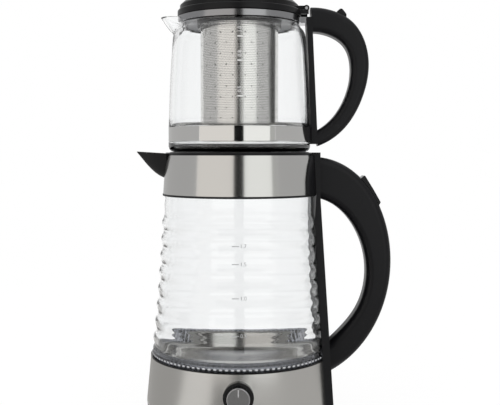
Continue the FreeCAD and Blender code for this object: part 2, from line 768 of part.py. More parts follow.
def ribbed_ring(outer_r, bottom, top, first):
    """A clear ring whose outside is a row of upright ribs."""
    corners = []
    for index in range(2 * LIGHT_RING_RIBS):
        angle = math.radians(first + 180.0 * index / LIGHT_RING_RIBS)
        radius = outer_r - (LIGHT_RIB_DEPTH if index % 2 else 0.0)
        corners.append(Vector(radius * math.cos(angle), radius * math.sin(angle), bottom))
    face = Part.Face(Part.makePolygon(corners + corners[:1]))
    solid = outward(face.extrude(Vector(0, 0, top - bottom)))
    return solid.cut(disc(LIGHT_RING_BORE_R, bottom - 1, top + 1))


def light_ring():
    middle = (TRIM_TOP_Z + LIGHT_RING_TOP_Z) / 2
    lower = ribbed_ring(LIGHT_RING_R, TRIM_TOP_Z, middle, 0.0)
    upper = ribbed_ring(LIGHT_RING_R - LIGHT_UPPER_STEP, middle, LIGHT_RING_TOP_Z, 90.0 / LIGHT_RING_RIBS)
    return lower.fuse(upper)


def lamp_strip():
    top = LAMP_STRIP_Z + LAMP_STRIP_HEIGHT
    strip = ring(FRAME_TUBE_R + LAMP_STRIP_THICK, FRAME_TUBE_R, LAMP_STRIP_Z, top)
    return strip.cut(knob_bore(BEZEL_R + 1)).cut(strap_boss_zone())


def strap_boss_zone():
    """Room in the lamp strip for the two bosses on the strap's inner face."""
    half = HANDLE_SCREW_SIDES[1] + STRAP_BOSS_R + 1
    return block((STRAP_TRIM_X, -half, LAMP_STRIP_Z - 1), (FAR, half, LAMP_STRIP_Z + LAMP_STRIP_HEIGHT + 1))


def strip_lamps():
    start = FRAME_TUBE_R + LAMP_STRIP_THICK
    middle = LAMP_STRIP_Z + LAMP_STRIP_HEIGHT / 2
    lamp = block((start, -LAMP_SIZE, middle - LAMP_SIZE), (start + LAMP_SIZE, LAMP_SIZE, middle + LAMP_SIZE))
    return around(lamp, LAMP_COUNT, 180.0 / LAMP_COUNT)


def heater_dish():
    lip_z = DISH_FLANGE_Z
    return lathe(
        [
            (0, DISH_FLOOR_Z),
            (DISH_FLOOR_R, DISH_FLOOR_Z, DISH_ROUND),
            (DISH_WALL_R, lip_z, 1.0),
            (DISH_FLANGE_R, lip_z),
            (DISH_FLANGE_R, lip_z - SHEET),
            (DISH_WALL_R + SHEET, lip_z - SHEET, 1.0),
            (DISH_FLOOR_R + SHEET, DISH_FLOOR_Z - SHEET, DISH_ROUND),
            (0, DISH_FLOOR_Z - SHEET),
        ]
    )


def lower_gasket():
    return ring(DISH_FLANGE_R, GLASS_FOOT_R - GLASS_WALL - 2, DISH_FLANGE_Z, GLASS_BOTTOM_Z)


def heat_spreader():
    return disc(SPREADER_R, SPREADER_BOTTOM_Z, SPREADER_TOP_Z)


def heating_element():
    centre_z = SPREADER_BOTTOM_Z - ELEMENT_TUBE_R
    circle = Part.makeCircle(ELEMENT_TUBE_R, Vector(ELEMENT_CIRCLE_R, 0, centre_z), Vector(0, 1, 0))
    face = Part.Face(Part.Wire(circle))
    start = (360.0 - ELEMENT_SWEEP) / 2 + 90.0
    tube = outward(face.revolve(Vector(), Z_AXIS, ELEMENT_SWEEP))
    tube.rotate(Vector(), Z_AXIS, start)
    tails = []
    for angle in (start + 4.0, start + ELEMENT_SWEEP - 4.0):
        x = ELEMENT_CIRCLE_R * math.cos(math.radians(angle))
        y = ELEMENT_CIRCLE_R * math.sin(math.radians(angle))
        tail_z = centre_z - ELEMENT_TUBE_R - ELEMENT_TAIL_LENGTH
        tails.append(rod(ELEMENT_TAIL_R, (x, y, tail_z), (x, y, centre_z)))
    return joined([tube] + tails)


def thermal_sensor():
    return joined(
        [
            disc(SENSOR_R, SPREADER_BOTTOM_Z - SENSOR_HEIGHT, SPREADER_BOTTOM_Z),
            disc(SENSOR_R / 2, SPREADER_BOTTOM_Z - SENSOR_HEIGHT - 2, SPREADER_BOTTOM_Z - SENSOR_HEIGHT),
        ]
    )


def kettle_connector():
    bore_r = COLUMN_R + SOCKET_GAP
    cavity_top = COLUMN_TOP_Z + 1.0
    body = lathe(
        [
            (bore_r, COVER_RECESS_Z + 0.5),
            (SOCKET_OUTER_R, COVER_RECESS_Z + 0.5),
            (SOCKET_OUTER_R, COVER_TOP_Z),
            (SOCKET_FLANGE_R, COVER_TOP_Z),
            (SOCKET_FLANGE_R, COVER_TOP_Z + MOULDED_WALL),
            (SOCKET_OUTER_R, COVER_TOP_Z + MOULDED_WALL),
            (SOCKET_OUTER_R, cavity_top + SOCKET_ROOF, 1.5),
            (0, cavity_top + SOCKET_ROOF),
            (0, cavity_top),
            (bore_r, cavity_top),
        ]
    )
    for bottom, top in ring_grooves():
        body = body.cut(ring(bore_r + 2, bore_r - 1, bottom, top))
    return body


def connector_contacts():
    bore_r = COLUMN_R + SOCKET_GAP
    return [ring(bore_r + 2, bore_r - CONTACT_RING_PROUD, bottom, top) for bottom, top in ring_grooves()]


def control_board():
    half = BOARD_WIDTH / 2
    return block((-half, BOARD_Y - BOARD_THICK, BOARD_BOTTOM_Z), (half, BOARD_Y, BOARD_TOP_Z))


def board_components():
    """Relay, transformer, chip and capacitor; each rests on the board and stands inward."""
    parts = []
    for (left, bottom), (wide, tall, deep) in BOARD_BLOCKS:
        parts.append(block((left, BOARD_Y, bottom), (left + wide, BOARD_Y + deep, bottom + tall)))
    start = (CAPACITOR_X, BOARD_Y, CAPACITOR_Z)
    parts.append(rod(CAPACITOR_R, start, (CAPACITOR_X, BOARD_Y + CAPACITOR_LENGTH, CAPACITOR_Z)))
    return parts


def selector_switch():
    half = SELECTOR_SIZE / 2
    front = BOARD_Y - BOARD_THICK
    body = block((-half, front - SELECTOR_DEPTH, KNOB_Z - half), (half, front, KNOB_Z + half))
    nose_start = front - SELECTOR_DEPTH
    nose_end = nose_start - SELECTOR_NOSE_LENGTH
    nose = rod(SELECTOR_NOSE_R, (0, nose_start, KNOB_Z), (0, nose_end, KNOB_Z))
    bore = rod(SPINDLE_R + SHAFT_GAP, (0, front - 1, KNOB_Z), (0, nose_end - 1, KNOB_Z))
    return joined([body, nose]).cut(bore)


def knob_spindle():
    inner_end = BOARD_Y - BOARD_THICK - 1.5
    return rod(SPINDLE_R, (0, inner_end, KNOB_Z), (0, KNOB_FACE_Y + 3.0, KNOB_Z))


def knob():
    back_y = KNOB_FACE_Y + KNOB_DEPTH
    corners = [
        (0, 0),
        (KNOB_R, 0, KNOB_EDGE_ROUND),
        (KNOB_R, -KNOB_DEPTH),
        (0, -KNOB_DEPTH),
    ]
    cap = lathe(corners)
    notches = []
    for index in range(KNOB_GRIP_NOTCHES):
        angle = math.radians(360.0 * (index + 0.5) / KNOB_GRIP_NOTCHES)
        x = KNOB_R * math.cos(angle)
        y = KNOB_R * math.sin(angle)
        notches.append(Part.makeCylinder(KNOB_NOTCH_R, KNOB_DEPTH - 1.2, Vector(x, y, -KNOB_DEPTH)))
    cap = cap.cut(notches)
    pointer = block((-0.5, 2.0, -0.4), (0.5, KNOB_R - 1.0, 1.0))
    hollow = Part.makeCylinder(KNOB_R - 1.5, KNOB_DEPTH - 3.0, Vector(0, 0, -KNOB_DEPTH))
    hollow = hollow.cut(Part.makeCylinder(SPINDLE_R + 1.6, KNOB_DEPTH, Vector(0, 0, -KNOB_DEPTH)))
    bore = Part.makeCylinder(SPINDLE_R, KNOB_DEPTH - 3.0, Vector(0, 0, -KNOB_DEPTH))
    cap = cap.cut([pointer, hollow, bore])
    cap.rotate(Vector(), Vector(1, 0, 0), 90)
    cap.translate(Vector(0, back_y - KNOB_DEPTH, KNOB_Z))
    return cap


def knob_bezel():
    back_y = BEZEL_FACE_Y + BEZEL_DEPTH
    flange = rod(BEZEL_R, (0, BEZEL_FACE_Y, KNOB_Z), (0, back_y, KNOB_Z))
    flange = flange.cut(lathe([(0, 0), (shell_r(0), 0), (shell_r(KNOB_Z * 2), KNOB_Z * 2), (0, KNOB_Z * 2)]))
    boss = rod(BEZEL_BOSS_R, (0, BEZEL_FACE_Y + 0.5, KNOB_Z), (0, back_y, KNOB_Z))
    well_end = KNOB_FACE_Y + KNOB_DEPTH + 1.0
    well = rod(KNOB_R + MOVING_GAP, (0, BEZEL_FACE_Y - 1, KNOB_Z), (0, well_end, KNOB_Z))
    bore = rod(SPINDLE_R + MOVING_GAP, (0, BEZEL_FACE_Y - 1, KNOB_Z), (0, back_y + 1, KNOB_Z))
    return joined([flange, boss]).cut([well, bore])


# Kettle body and top

def ripple_points(inset):
    """Crests and troughs of the rippled wall from bottom to top."""
    points = []
    for index in range(2 * RIPPLE_COUNT):
        z = RIPPLE_FIRST_Z + index * RIPPLE_PITCH / 2
        trough = RIPPLE_DEPTH if index % 2 else 0.0
        points.append((ripple_crest_r(z) - trough - inset, z))
    return points


def glass_body():
    foot_top = RIPPLE_FIRST_Z - RIPPLE_PITCH / 2
    outer = [(GLASS_FOOT_R, foot_top)] + ripple_points(0.0) + [(NECK_BOTTOM_R, NECK_BOTTOM_Z)]
    inner = [(r - GLASS_WALL, z) for r, z in outer]
    foot_in = GLASS_FOOT_R - GLASS_WALL
    top_in = NECK_TOP_R - GLASS_WALL
    corners = [vertical(*outer[-1]), vertical(NECK_TOP_R, NECK_TOP_Z), vertical(top_in, NECK_TOP_Z)]
    corners.append(vertical(*inner[-1]))
    edges = [Part.LineSegment(a, b).toShape() for a, b in zip(corners, corners[1:])]
    foot = [vertical(*inner[0]), vertical(foot_in, GLASS_BOTTOM_Z), vertical(GLASS_FOOT_R, GLASS_BOTTOM_Z)]
    foot.append(vertical(*outer[0]))
    edges += [Part.LineSegment(a, b).toShape() for a, b in zip(foot, foot[1:])]
    return lathe_edges(edges + [curve(outer), curve(inner)])


def collar_band():
    band = lathe(
        [
            (COLLAR_BOTTOM_R - SHEET, COLLAR_BOTTOM_Z),
            (COLLAR_BOTTOM_R, COLLAR_BOTTOM_Z),
            (COLLAR_TOP_R, COLLAR_TOP_Z),
            (COLLAR_TOP_R - SHEET, COLLAR_TOP_Z),
        ]
    )
    half = STRAINER_STEP * STRAINER_SLOTS / 2
    low = (-FAR, -half, STRAINER_BOTTOM_Z - COLLAR_WINDOW_BELOW)
    window = block(low, (-COLLAR_TOP_R / 2, half, RIM_TOP_Z))
    return band.cut([window, rod_bore()])


def collar_gasket():
    outer_r = COLLAR_BOTTOM_R + 0.4
    glass_r = NECK_BOTTOM_R + SEAT_GAP
    inside_r = collar_r(COLLAR_BOTTOM_Z + COLLAR_GASKET_INSIDE) - SHEET - 0.05
    return lathe(
        [
            (glass_r, COLLAR_BOTTOM_Z - COLLAR_GASKET_BELOW),
            (outer_r, COLLAR_BOTTOM_Z - COLLAR_GASKET_BELOW, 0.6),
            (outer_r, COLLAR_BOTTOM_Z),
            (inside_r, COLLAR_BOTTOM_Z),
            (inside_r, COLLAR_BOTTOM_Z + COLLAR_GASKET_INSIDE),
            (glass_r, COLLAR_BOTTOM_Z + COLLAR_GASKET_INSIDE),
        ]
    )


def rod_bore():
    """Clear way for the release rod, from the lid seat to the inside of the handle."""
    half = ROD_WIDTH / 2 + MOVING_GAP
    top = ROD_BOTTOM_Z + ROD_THICK + MOVING_GAP
    end_x = STRAP_TOP_FACE_X + HANDLE_ROOT_WALL + 0.5
    return block((LID_PLUG_R - 4, -half, ROD_BOTTOM_Z - MOVING_GAP), (end_x, half, top))


def top_rim():
    flange_r = COLLAR_TOP_R + RIM_OVERHANG
    ledge_bottom = LID_LEDGE_Z - LID_LEDGE_THICK
    rim = lathe(
        [
            (RIM_SKIRT_R, NECK_TOP_Z + GASKET_THICK),
            (RIM_SKIRT_R, COLLAR_TOP_Z),
            (flange_r, COLLAR_TOP_Z),
            (flange_r, RIM_TOP_Z, 1.2),
            (RIM_BORE_R, RIM_TOP_Z, 0.6),
            (RIM_BORE_R, LID_LEDGE_Z),
            (LID_LEDGE_R, LID_LEDGE_Z),
            (LID_LEDGE_R, ledge_bottom),
            (RIM_BORE_R, ledge_bottom - 2.0),
            (RIM_BORE_R, NECK_TOP_Z + GASKET_THICK),
        ]
    )
    half = STRAP_TOP_HALF
    tab = block((COLLAR_TOP_R - 2, -half, COLLAR_TOP_Z), (STRAP_TOP_FACE_X, half, RIM_TOP_Z))
    rim = joined([rim, tab.cut(disc(RIM_BORE_R + 1, COLLAR_TOP_Z, RIM_TOP_Z))])
    slots = []
    for index in range(STRAINER_SLOTS):
        y = (index - (STRAINER_SLOTS - 1) / 2) * STRAINER_STEP
        half = STRAINER_SLOT_WIDTH / 2
        low = (-FAR, y - half, STRAINER_BOTTOM_Z)
        slots.append(block(low, (-COLLAR_TOP_R / 2, y + half, STRAINER_TOP_Z)))
    return rim.cut(slots).cut(rod_bore())


def neck_gasket():
    return ring(NECK_TOP_R - 0.2, RIM_BORE_R, NECK_TOP_Z, NECK_TOP_Z + GASKET_THICK)


def spout_section(x, half, bottom, top):
    """A rounded V across the spout at x."""
    bulge = SPOUT_BULGE * half
    bulge_z = between(SPOUT_BULGE_RISE, 0, bottom, 1, top)
    points = [(-half, top), (-bulge, bulge_z), (0, bottom), (bulge, bulge_z), (half, top)]
    across = Part.LineSegment(Vector(x, half, top), Vector(x, -half, top)).toShape()
    return Part.Wire([curve(points, lambda y, z: Vector(x, y, z)), across])


def spout_body(inset, rise):
    """The beak as one smooth body through its sections from the collar to the tip."""
    sections = []
    for share, width_share, drop_share in SPOUT_STATIONS:
        x = SPOUT_ROOT_X + share * (SPOUT_TIP_X + inset * 1.2 - SPOUT_ROOT_X)
        top = between(share, 0, RIM_TOP_Z - 1.0, 1, SPOUT_TIP_Z)
        bottom = SPOUT_ROOT_Z + drop_share * (SPOUT_TIP_Z - SPOUT_ROOT_Z) + inset * 1.25
        half = max(SPOUT_ROOT_HALF * width_share - inset, 0.4)
        sections.append(spout_section(x, half, bottom, top + rise))
    return outward(Part.makeLoft(sections, True, False))


def spout():
    body = spout_body(0.0, 0.0).cut(spout_body(SPOUT_WALL, 3.0))
    low_z = COLLAR_BOTTOM_Z
    high_z = SPOUT_TIP_Z + 10
    low_r = collar_r(low_z) + SEAT_GAP
    high_r = collar_r(high_z) + SEAT_GAP
    inside = lathe([(0, low_z), (low_r, low_z), (high_r, high_z), (0, high_z)])
    under_rim = disc(COLLAR_TOP_R + RIM_OVERHANG + SEAT_GAP, COLLAR_TOP_Z - SEAT_GAP, high_z)
    return body.cut([inside, under_rim])


def handle_saddle():
    """The black flare that hugs the collar behind the strap."""
    bottom = COLLAR_BOTTOM_Z
    skin = lathe(
        [
            (COLLAR_BOTTOM_R + SEAT_GAP, bottom),
            (COLLAR_BOTTOM_R + SADDLE_THICK, bottom),
            (COLLAR_TOP_R + SADDLE_THICK, COLLAR_TOP_Z),
            (COLLAR_TOP_R + SEAT_GAP, COLLAR_TOP_Z),
        ]
    )
    edges = []
    for side in (-1, 1):
        low = Vector(0, side * SADDLE_LOW_HALF, bottom)
        middle = Vector(0, side * SADDLE_MID_HALF, SADDLE_MID_Z)
        high = Vector(0, side * SADDLE_TOP_HALF, COLLAR_TOP_Z)
        edges.append(Part.Arc(low, middle, high).toShape())
    for z, half in ((bottom, SADDLE_LOW_HALF), (COLLAR_TOP_Z, SADDLE_TOP_HALF)):
        edges.append(Part.LineSegment(Vector(0, -half, z), Vector(0, half, z)).toShape())
    front = outward(face_of(edges).extrude(Vector(FAR, 0, 0)))
    heads = [upper_screw(y, MOVING_GAP) for y in HANDLE_SCREW_SIDES]
    return skin.common(front).cut(heads + [rod_bore()])


def strap_core():
    """What the strap's inner face hugs: base, light ring, crests of the glass, and saddle."""
    last = RIPPLE_FIRST_Z + (RIPPLE_COUNT - 1) * RIPPLE_PITCH
    corners = [(0, 0), (STRAP_CORE_R, 0), (STRAP_CORE_R, LIGHT_RING_TOP_Z + 0.5)]
    for index in range(0, RIPPLE_COUNT, 2):
        z = RIPPLE_FIRST_Z + index * RIPPLE_PITCH
        corners.append((ripple_crest_r(z) + MOVING_GAP + 0.2, z))
    corners.append((ripple_crest_r(last) + MOVING_GAP, last))
    saddle_r = COLLAR_BOTTOM_R + SADDLE_THICK + SEAT_GAP
    corners.append((saddle_r, COLLAR_BOTTOM_Z - COLLAR_GASKET_BELOW - 0.5))
    corners.append((saddle_r, COLLAR_BOTTOM_Z))
    corners.append((COLLAR_TOP_R + SADDLE_THICK + SEAT_GAP, COLLAR_TOP_Z))
    corners.append((0, COLLAR_TOP_Z))
    return lathe(corners)


def handle_strap():
    side = side_prism(
        [
            (STRAP_TRIM_X, STRAP_BOTTOM_Z),
            (STRAP_BOTTOM_FACE_X, STRAP_BOTTOM_Z, 1.0),
            (STRAP_TOP_FACE_X, STRAP_KINK_Z),
            (STRAP_TOP_FACE_X, COLLAR_TOP_Z),
            (STRAP_TRIM_X, COLLAR_TOP_Z),
        ],
        FAR,
    )
    strap = side.common(strap_front(STRAP_BOTTOM_Z, COLLAR_TOP_Z)).cut(strap_core())
    bosses = []
    for y in HANDLE_SCREW_SIDES:
        start = math.sqrt(FRAME_TUBE_R**2 - (abs(y) - STRAP_BOSS_R) ** 2) + 0.2
        end = STRAP_CORE_R + 1.0
        bosses.append(rod(STRAP_BOSS_R, (start, y, STRAP_SCREW_Z), (end, y, STRAP_SCREW_Z)))
    strap = joined([strap] + bosses)
    for y in HANDLE_SCREW_SIDES:
        strap = strap.cut([lower_screw_way(y, SCREW_SHANK_R), upper_screw(y, SEAT_GAP)])
    return strap.cut(rod_bore())


def upper_screw(y, extra=0.0):
    """Countersunk screw from the strap's inner face into the handle."""
    z = STRAP_UPPER_SCREW_Z
    head_x = STRAP_TOP_FACE_X - UPPER_SCREW_DEPTH
    shank = rod(SCREW_SHANK_R + extra, (head_x, y, z), (STRAP_TOP_FACE_X + HANDLE_ROOT_WALL - 1, y, z))
    start = Vector(head_x, y, z)
    cone = Part.makeCone(SCREW_HEAD_R + extra, SCREW_SHANK_R + extra, UPPER_SCREW_CONE, start, Vector(1, 0, 0))
    return joined([shank, cone])


def lower_screw(y):
    tube_inner = math.sqrt((FRAME_TUBE_R - MOULDED_WALL) ** 2 - (abs(y) + SCREW_HEAD_R) ** 2)
    head_x = tube_inner - SCREW_HEAD_THICK
    head = rod(SCREW_HEAD_R, (head_x, y, STRAP_SCREW_Z), (tube_inner, y, STRAP_SCREW_Z))
    tip_x = strap_face_x(STRAP_SCREW_Z) + HANDLE_ROOT_WALL - 1
    shank = rod(SCREW_SHANK_R, (head_x, y, STRAP_SCREW_Z), (tip_x, y, STRAP_SCREW_Z))
    return joined([head, shank])


def handle_screws():
    screws = []
    for y in HANDLE_SCREW_SIDES:
        screws.append(upper_screw(y))
        screws.append(lower_screw(y))
    return screws


# Both handles are loops made from an outer and an inner line

def moved_inward(points, distance):
    """The points of a line, each moved to the right of the way the line runs."""
    moved = []
    for index, (x, z) in enumerate(points):
        before = points[max(index - 1, 0)]
        after = points[min(index + 1, len(points) - 1)]
        along = Vector(after[0] - before[0], 0, after[1] - before[1]).normalize()
        moved.append((x + along.z * distance, z - along.x * distance))
    return moved


def loop_prism(outer, inner, half_width, rounding=0.0):
    """The loop between two lines that run from the handle's top root to its bottom root."""
    top = Part.LineSegment(vertical(*outer[0]), vertical(*inner[0])).toShape()
    bottom = Part.LineSegment(vertical(*outer[-1]), vertical(*inner[-1])).toShape()
    face = face_of([curve(outer), curve(inner), top, bottom])
    face.translate(Vector(0, -half_width, 0))
    solid = outward(face.extrude(Vector(0, 2 * half_width, 0)))
    if rounding > 0:
        long_edges = [
            edge
            for edge in solid.Edges
            if edge.Curve.TypeId == "Part::GeomBSplineCurve" and edge.BoundBox.YLength < 0.01
        ]
        solid = solid.makeFillet(rounding, long_edges)
    return solid


def loop_hollow(outer, inner, half_width):
    """The hollow of a loop, one moulded wall inside its surface."""
    wall = MOULDED_WALL
    return loop_prism(moved_inward(outer, wall), moved_inward(inner, -wall), half_width - wall)


def seam_zone(outer, depth):
    """Everything outside the seam, the line at a depth under the outer side of a loop."""
    seam = moved_inward(outer, depth)
    far = moved_inward(outer, -SEAM_REACH)
    edges = [curve(seam)]
    edges.append(Part.LineSegment(vertical(*seam[0]), vertical(*far[0])).toShape())
    edges.append(Part.LineSegment(vertical(*seam[-1]), vertical(*far[-1])).toShape())
    for a, b in zip(far, far[1:]):
        edges.append(Part.LineSegment(vertical(*a), vertical(*b)).toShape())
    face = face_of(edges)
    face.translate(Vector(0, -HANDLE_WIDTH, 0))
    return outward(face.extrude(Vector(0, 2 * HANDLE_WIDTH, 0)))


def behind_face(face_x, bottom, top):
    """The space behind a straight strap face; face_x gives the face at a height."""
    back = STRAP_TRIM_X
    corners = [(back, bottom), (face_x(bottom), bottom), (face_x(top), top), (back, top)]
    return side_prism(corners, HANDLE_WIDTH)


def kettle_handle_lines():
    face = strap_face_x
    outer = [(face(HANDLE_TOP_Z), HANDLE_TOP_Z)] + list(HANDLE_OUTER)
    outer.append((face(HANDLE_BOTTOM_Z), HANDLE_BOTTOM_Z))
    inner = [(face(HANDLE_INNER_TOP_Z), HANDLE_INNER_TOP_Z)] + list(HANDLE_INNER)
    inner.append((face(HANDLE_INNER_BOTTOM_Z), HANDLE_INNER_BOTTOM_Z))
    return outer, inner


def kettle_handle_whole():
    outer, inner = kettle_handle_lines()
    half = HANDLE_WIDTH / 2
    body = loop_prism(outer, inner, half, HANDLE_ROUND)
    hollow = loop_hollow(outer, inner, half)
    root = side_prism(
        [
            (STRAP_TRIM_X, HANDLE_TOP_Z + HANDLE_ROOT_BACK),
            (STRAP_TOP_FACE_X + HANDLE_ROOT_WALL, HANDLE_TOP_Z + HANDLE_ROOT_BACK),
            (STRAP_TOP_FACE_X + HANDLE_ROOT_WALL, STRAP_KINK_Z),
            (STRAP_BOTTOM_FACE_X + HANDLE_ROOT_WALL, STRAP_BOTTOM_Z),
            (STRAP_TRIM_X, STRAP_BOTTOM_Z),
        ],
        half,
    )
    below = behind_face(strap_face_x, STRAP_BOTTOM_Z, STRAP_KINK_Z)
    return body.cut(hollow.cut(root)).cut(below)


def turned(shape, degrees):
    """A copy turned about the button's pin; a positive angle pushes the button in."""
    copy = shape.copy()
    copy.rotate(Vector(BUTTON_PIVOT_X, 0, BUTTON_PIVOT_Z), Vector(0, -1, 0), degrees)
    return copy


def lid_button():
    half = BUTTON_WIDTH / 2
    wedge = side_prism(BUTTON_OUTLINE, half)
    eye = rod(BUTTON_EYE_R, (BUTTON_PIVOT_X, -half, BUTTON_PIVOT_Z), (BUTTON_PIVOT_X, half, BUTTON_PIVOT_Z))
    bore_start = (BUTTON_PIVOT_X, -half - 1, BUTTON_PIVOT_Z)
    bore = rod(BUTTON_PIN_R + SHAFT_GAP, bore_start, (BUTTON_PIVOT_X, half + 1, BUTTON_PIVOT_Z))
    spring_half = SPRING_LENGTH / 2 + MOVING_GAP
    spring_room = rod(
        SPRING_OUTER_R + MOVING_GAP,
        (BUTTON_PIVOT_X, -spring_half, BUTTON_PIVOT_Z),
        (BUTTON_PIVOT_X, spring_half, BUTTON_PIVOT_Z),
    )
    return joined([wedge, eye]).cut([bore, spring_room])


def button_pocket():
    """Room for the button through its whole travel."""
    half = BUTTON_WIDTH / 2 + MOVING_GAP
    fat = side_prism(BUTTON_OUTLINE, half)
    room = [turned(fat, angle) for angle in (-2.0, 0.0, BUTTON_TRAVEL / 2, BUTTON_TRAVEL, BUTTON_TRAVEL + 2)]
    room.append(
        rod(
            BUTTON_EYE_R + MOVING_GAP,
            (BUTTON_PIVOT_X, -half, BUTTON_PIVOT_Z),
            (BUTTON_PIVOT_X, half, BUTTON_PIVOT_Z),
        )
    )
    return joined(room)


def button_pin():
    half = HANDLE_WIDTH / 2 - BUTTON_EAR_INSET
    return rod(BUTTON_PIN_R, (BUTTON_PIVOT_X, -half, BUTTON_PIVOT_Z), (BUTTON_PIVOT_X, half, BUTTON_PIVOT_Z))


def handle_parts():
    """The kettle handle's inner half and outer half."""
    whole = kettle_handle_whole()
    zone = seam_zone(kettle_handle_lines()[0], HANDLE_SEAM_DEPTH)
    grip = whole.cut(zone)
    cover = whole.common(zone)
    ears = []
    for side in (-1, 1):
        near = side * (BUTTON_WIDTH / 2 + MOVING_GAP)
        far = side * (HANDLE_WIDTH / 2 - BUTTON_EAR_INSET)
        ears.append(
            rod(BUTTON_EAR_R, (BUTTON_PIVOT_X, near, BUTTON_PIVOT_Z), (BUTTON_PIVOT_X, far, BUTTON_PIVOT_Z))
        )
    cover = joined([cover.cut(button_pocket())] + ears).cut(button_pin())
    grip = grip.cut(button_pocket()).cut(ears)
    bores = handle_screws()
    grip = grip.cut(bores)
    cover = cover.cut(bores)
    return grip.cut(rod_bore()), cover.cut(rod_bore())


def release_rod():
    """The cranked slide that the button pushes towards the lid."""
    half = ROD_WIDTH / 2
    nose_x = LID_LEDGE_R + ROD_TRAVEL + ROD_NOSE_GAP
    leg_x = STRAP_TOP_FACE_X + HANDLE_ROOT_WALL + ROD_TRAVEL + MOVING_GAP
    top = ROD_BOTTOM_Z + ROD_THICK
    return side_prism(
        [
            (nose_x, ROD_BOTTOM_Z),
            (nose_x, top),
            (leg_x + ROD_THICK / 2, top),
            (leg_x + ROD_THICK, ROD_BOTTOM_Z),
            (leg_x + ROD_THICK, ROD_LOW_Z + ROD_THICK),
            (ROD_TAIL_X, ROD_LOW_Z + ROD_THICK),
            (ROD_TAIL_X, ROD_LOW_Z),
            (leg_x, ROD_LOW_Z),
            (leg_x, ROD_BOTTOM_Z),
        ],
        half,
    )


def button_spring():
    """The small coil round the button's pin, drawn as the sleeve it fills."""
    half = SPRING_LENGTH / 2
    ends = ((BUTTON_PIVOT_X, -half, BUTTON_PIVOT_Z), (BUTTON_PIVOT_X, half, BUTTON_PIVOT_Z))
    return rod(SPRING_OUTER_R, *ends).cut(rod(BUTTON_PIN_R + SEAT_GAP, *ends))


# Kettle lid

def lid_well():
    return disc(LID_WELL_R, LID_TOP_Z - LID_WELL_DEPTH, LID_TOP_Z + 1)


def kettle_lid():
    wall = LID_WALL
    lid = lathe(
        [
            (0, LID_TOP_Z),
            (LID_R, LID_TOP_Z, 0.8),
            (LID_R, LID_LEDGE_Z),
            (LID_PLUG_R, LID_LEDGE_Z),
            (LID_PLUG_R, LID_PLUG_Z + LID_PLATE_THICK),
            (LID_PLUG_R - wall, LID_PLUG_Z + LID_PLATE_THICK),
            (LID_PLUG_R - wall, LID_TOP_Z - LID_FLANGE_THICK),
            (0, LID_TOP_Z - LID_FLANGE_THICK),
        ]
    )
    cup = disc(LID_WELL_R + wall, LID_TOP_Z - LID_WELL_DEPTH - wall, LID_TOP_Z - 1)
    lid = joined([lid, cup]).cut(lid_well())
    bar = block(
        (-LID_WELL_R - 1, -LID_GRIP_WIDTH / 2, LID_TOP_Z - LID_GRIP_SUNK - LID_GRIP_THICK),
        (LID_WELL_R + 1, LID_GRIP_WIDTH / 2, LID_TOP_Z - LID_GRIP_SUNK),
    )
    return joined([lid, bar])


def kettle_lid_plate():
    top = LID_PLUG_Z + LID_PLATE_THICK
    plate = disc(LID_PLUG_R, LID_PLUG_Z, top)
    vent = Part.makeCylinder(LID_VENT_R, LID_PLATE_THICK, Vector(LID_VENT_CIRCLE_R, 0, LID_PLUG_Z))
    return plate.cut(around(vent, LID_VENT_COUNT, 180.0 / LID_VENT_COUNT))


def lid_gasket():
    top = LID_LEDGE_Z - MOVING_GAP
    return ring(LID_LEDGE_R - MOVING_GAP, LID_PLUG_R, top - LID_GASKET_HEIGHT, top)


# Teapot

def teapot_outside():
    """The teapot's glass as if it were solid, with a shallow groove for the steel band."""
    band_low = TEAPOT_BAND_BOTTOM_Z - 0.3
    band_high = TEAPOT_BAND_TOP_Z + 0.3
    return lathe(
        [
            (0, TEAPOT_BOTTOM_Z),
            (TEAPOT_LOW_R, TEAPOT_BOTTOM_Z, TEAPOT_FOOT_ROUND),
            (TEAPOT_LOW_R, band_low),
            (TEAPOT_BAND_R, band_low + 0.2),
            (TEAPOT_BAND_R, band_high),
            (TEAPOT_LOW_R - 0.1, band_high + 0.2),
            (TEAPOT_MID_R, TEAPOT_MID_Z, TEAPOT_SIDE_ROUND),
            (TEAPOT_SHOULDER_R, TEAPOT_SHOULDER_Z, TEAPOT_SHOULDER_ROUND),
            (TEAPOT_NECK_R, TEAPOT_NECK_Z, 3.0),
            (TEAPOT_NECK_R, TEAPOT_TOP_Z, 0.6),
            (0, TEAPOT_TOP_Z),
        ]
    )


def teapot_inside():
    """The teapot's hollow, open at the top."""
    wall = TEAPOT_WALL
    mouth_z = TEAPOT_TOP_Z + 4.0
    floor_z = TEAPOT_BOTTOM_Z + TEAPOT_FLOOR_THICK
    return lathe(
        [
            (0, mouth_z),
            (TEAPOT_NECK_R - wall, mouth_z),
            (TEAPOT_NECK_R - wall, TEAPOT_NECK_Z - 1.0, 3.0),
            (TEAPOT_SHOULDER_R - wall, TEAPOT_SHOULDER_Z - 1.5, TEAPOT_SHOULDER_ROUND - wall),
            (TEAPOT_MID_R - wall, TEAPOT_MID_Z, TEAPOT_SIDE_ROUND),
            (TEAPOT_LOW_R - wall, TEAPOT_BAND_TOP_Z),
            (TEAPOT_BAND_R - wall, TEAPOT_BAND_TOP_Z - 1.0),
            (TEAPOT_BAND_R - wall, floor_z, TEAPOT_FOOT_ROUND),
            (0, floor_z),
        ]
    )


def teapot_glass():
    outside = teapot_outside().fuse(lip_body(0.0))
    inside = teapot_inside().fuse(lip_body(TEAPOT_WALL))
    return outside.cut(inside)


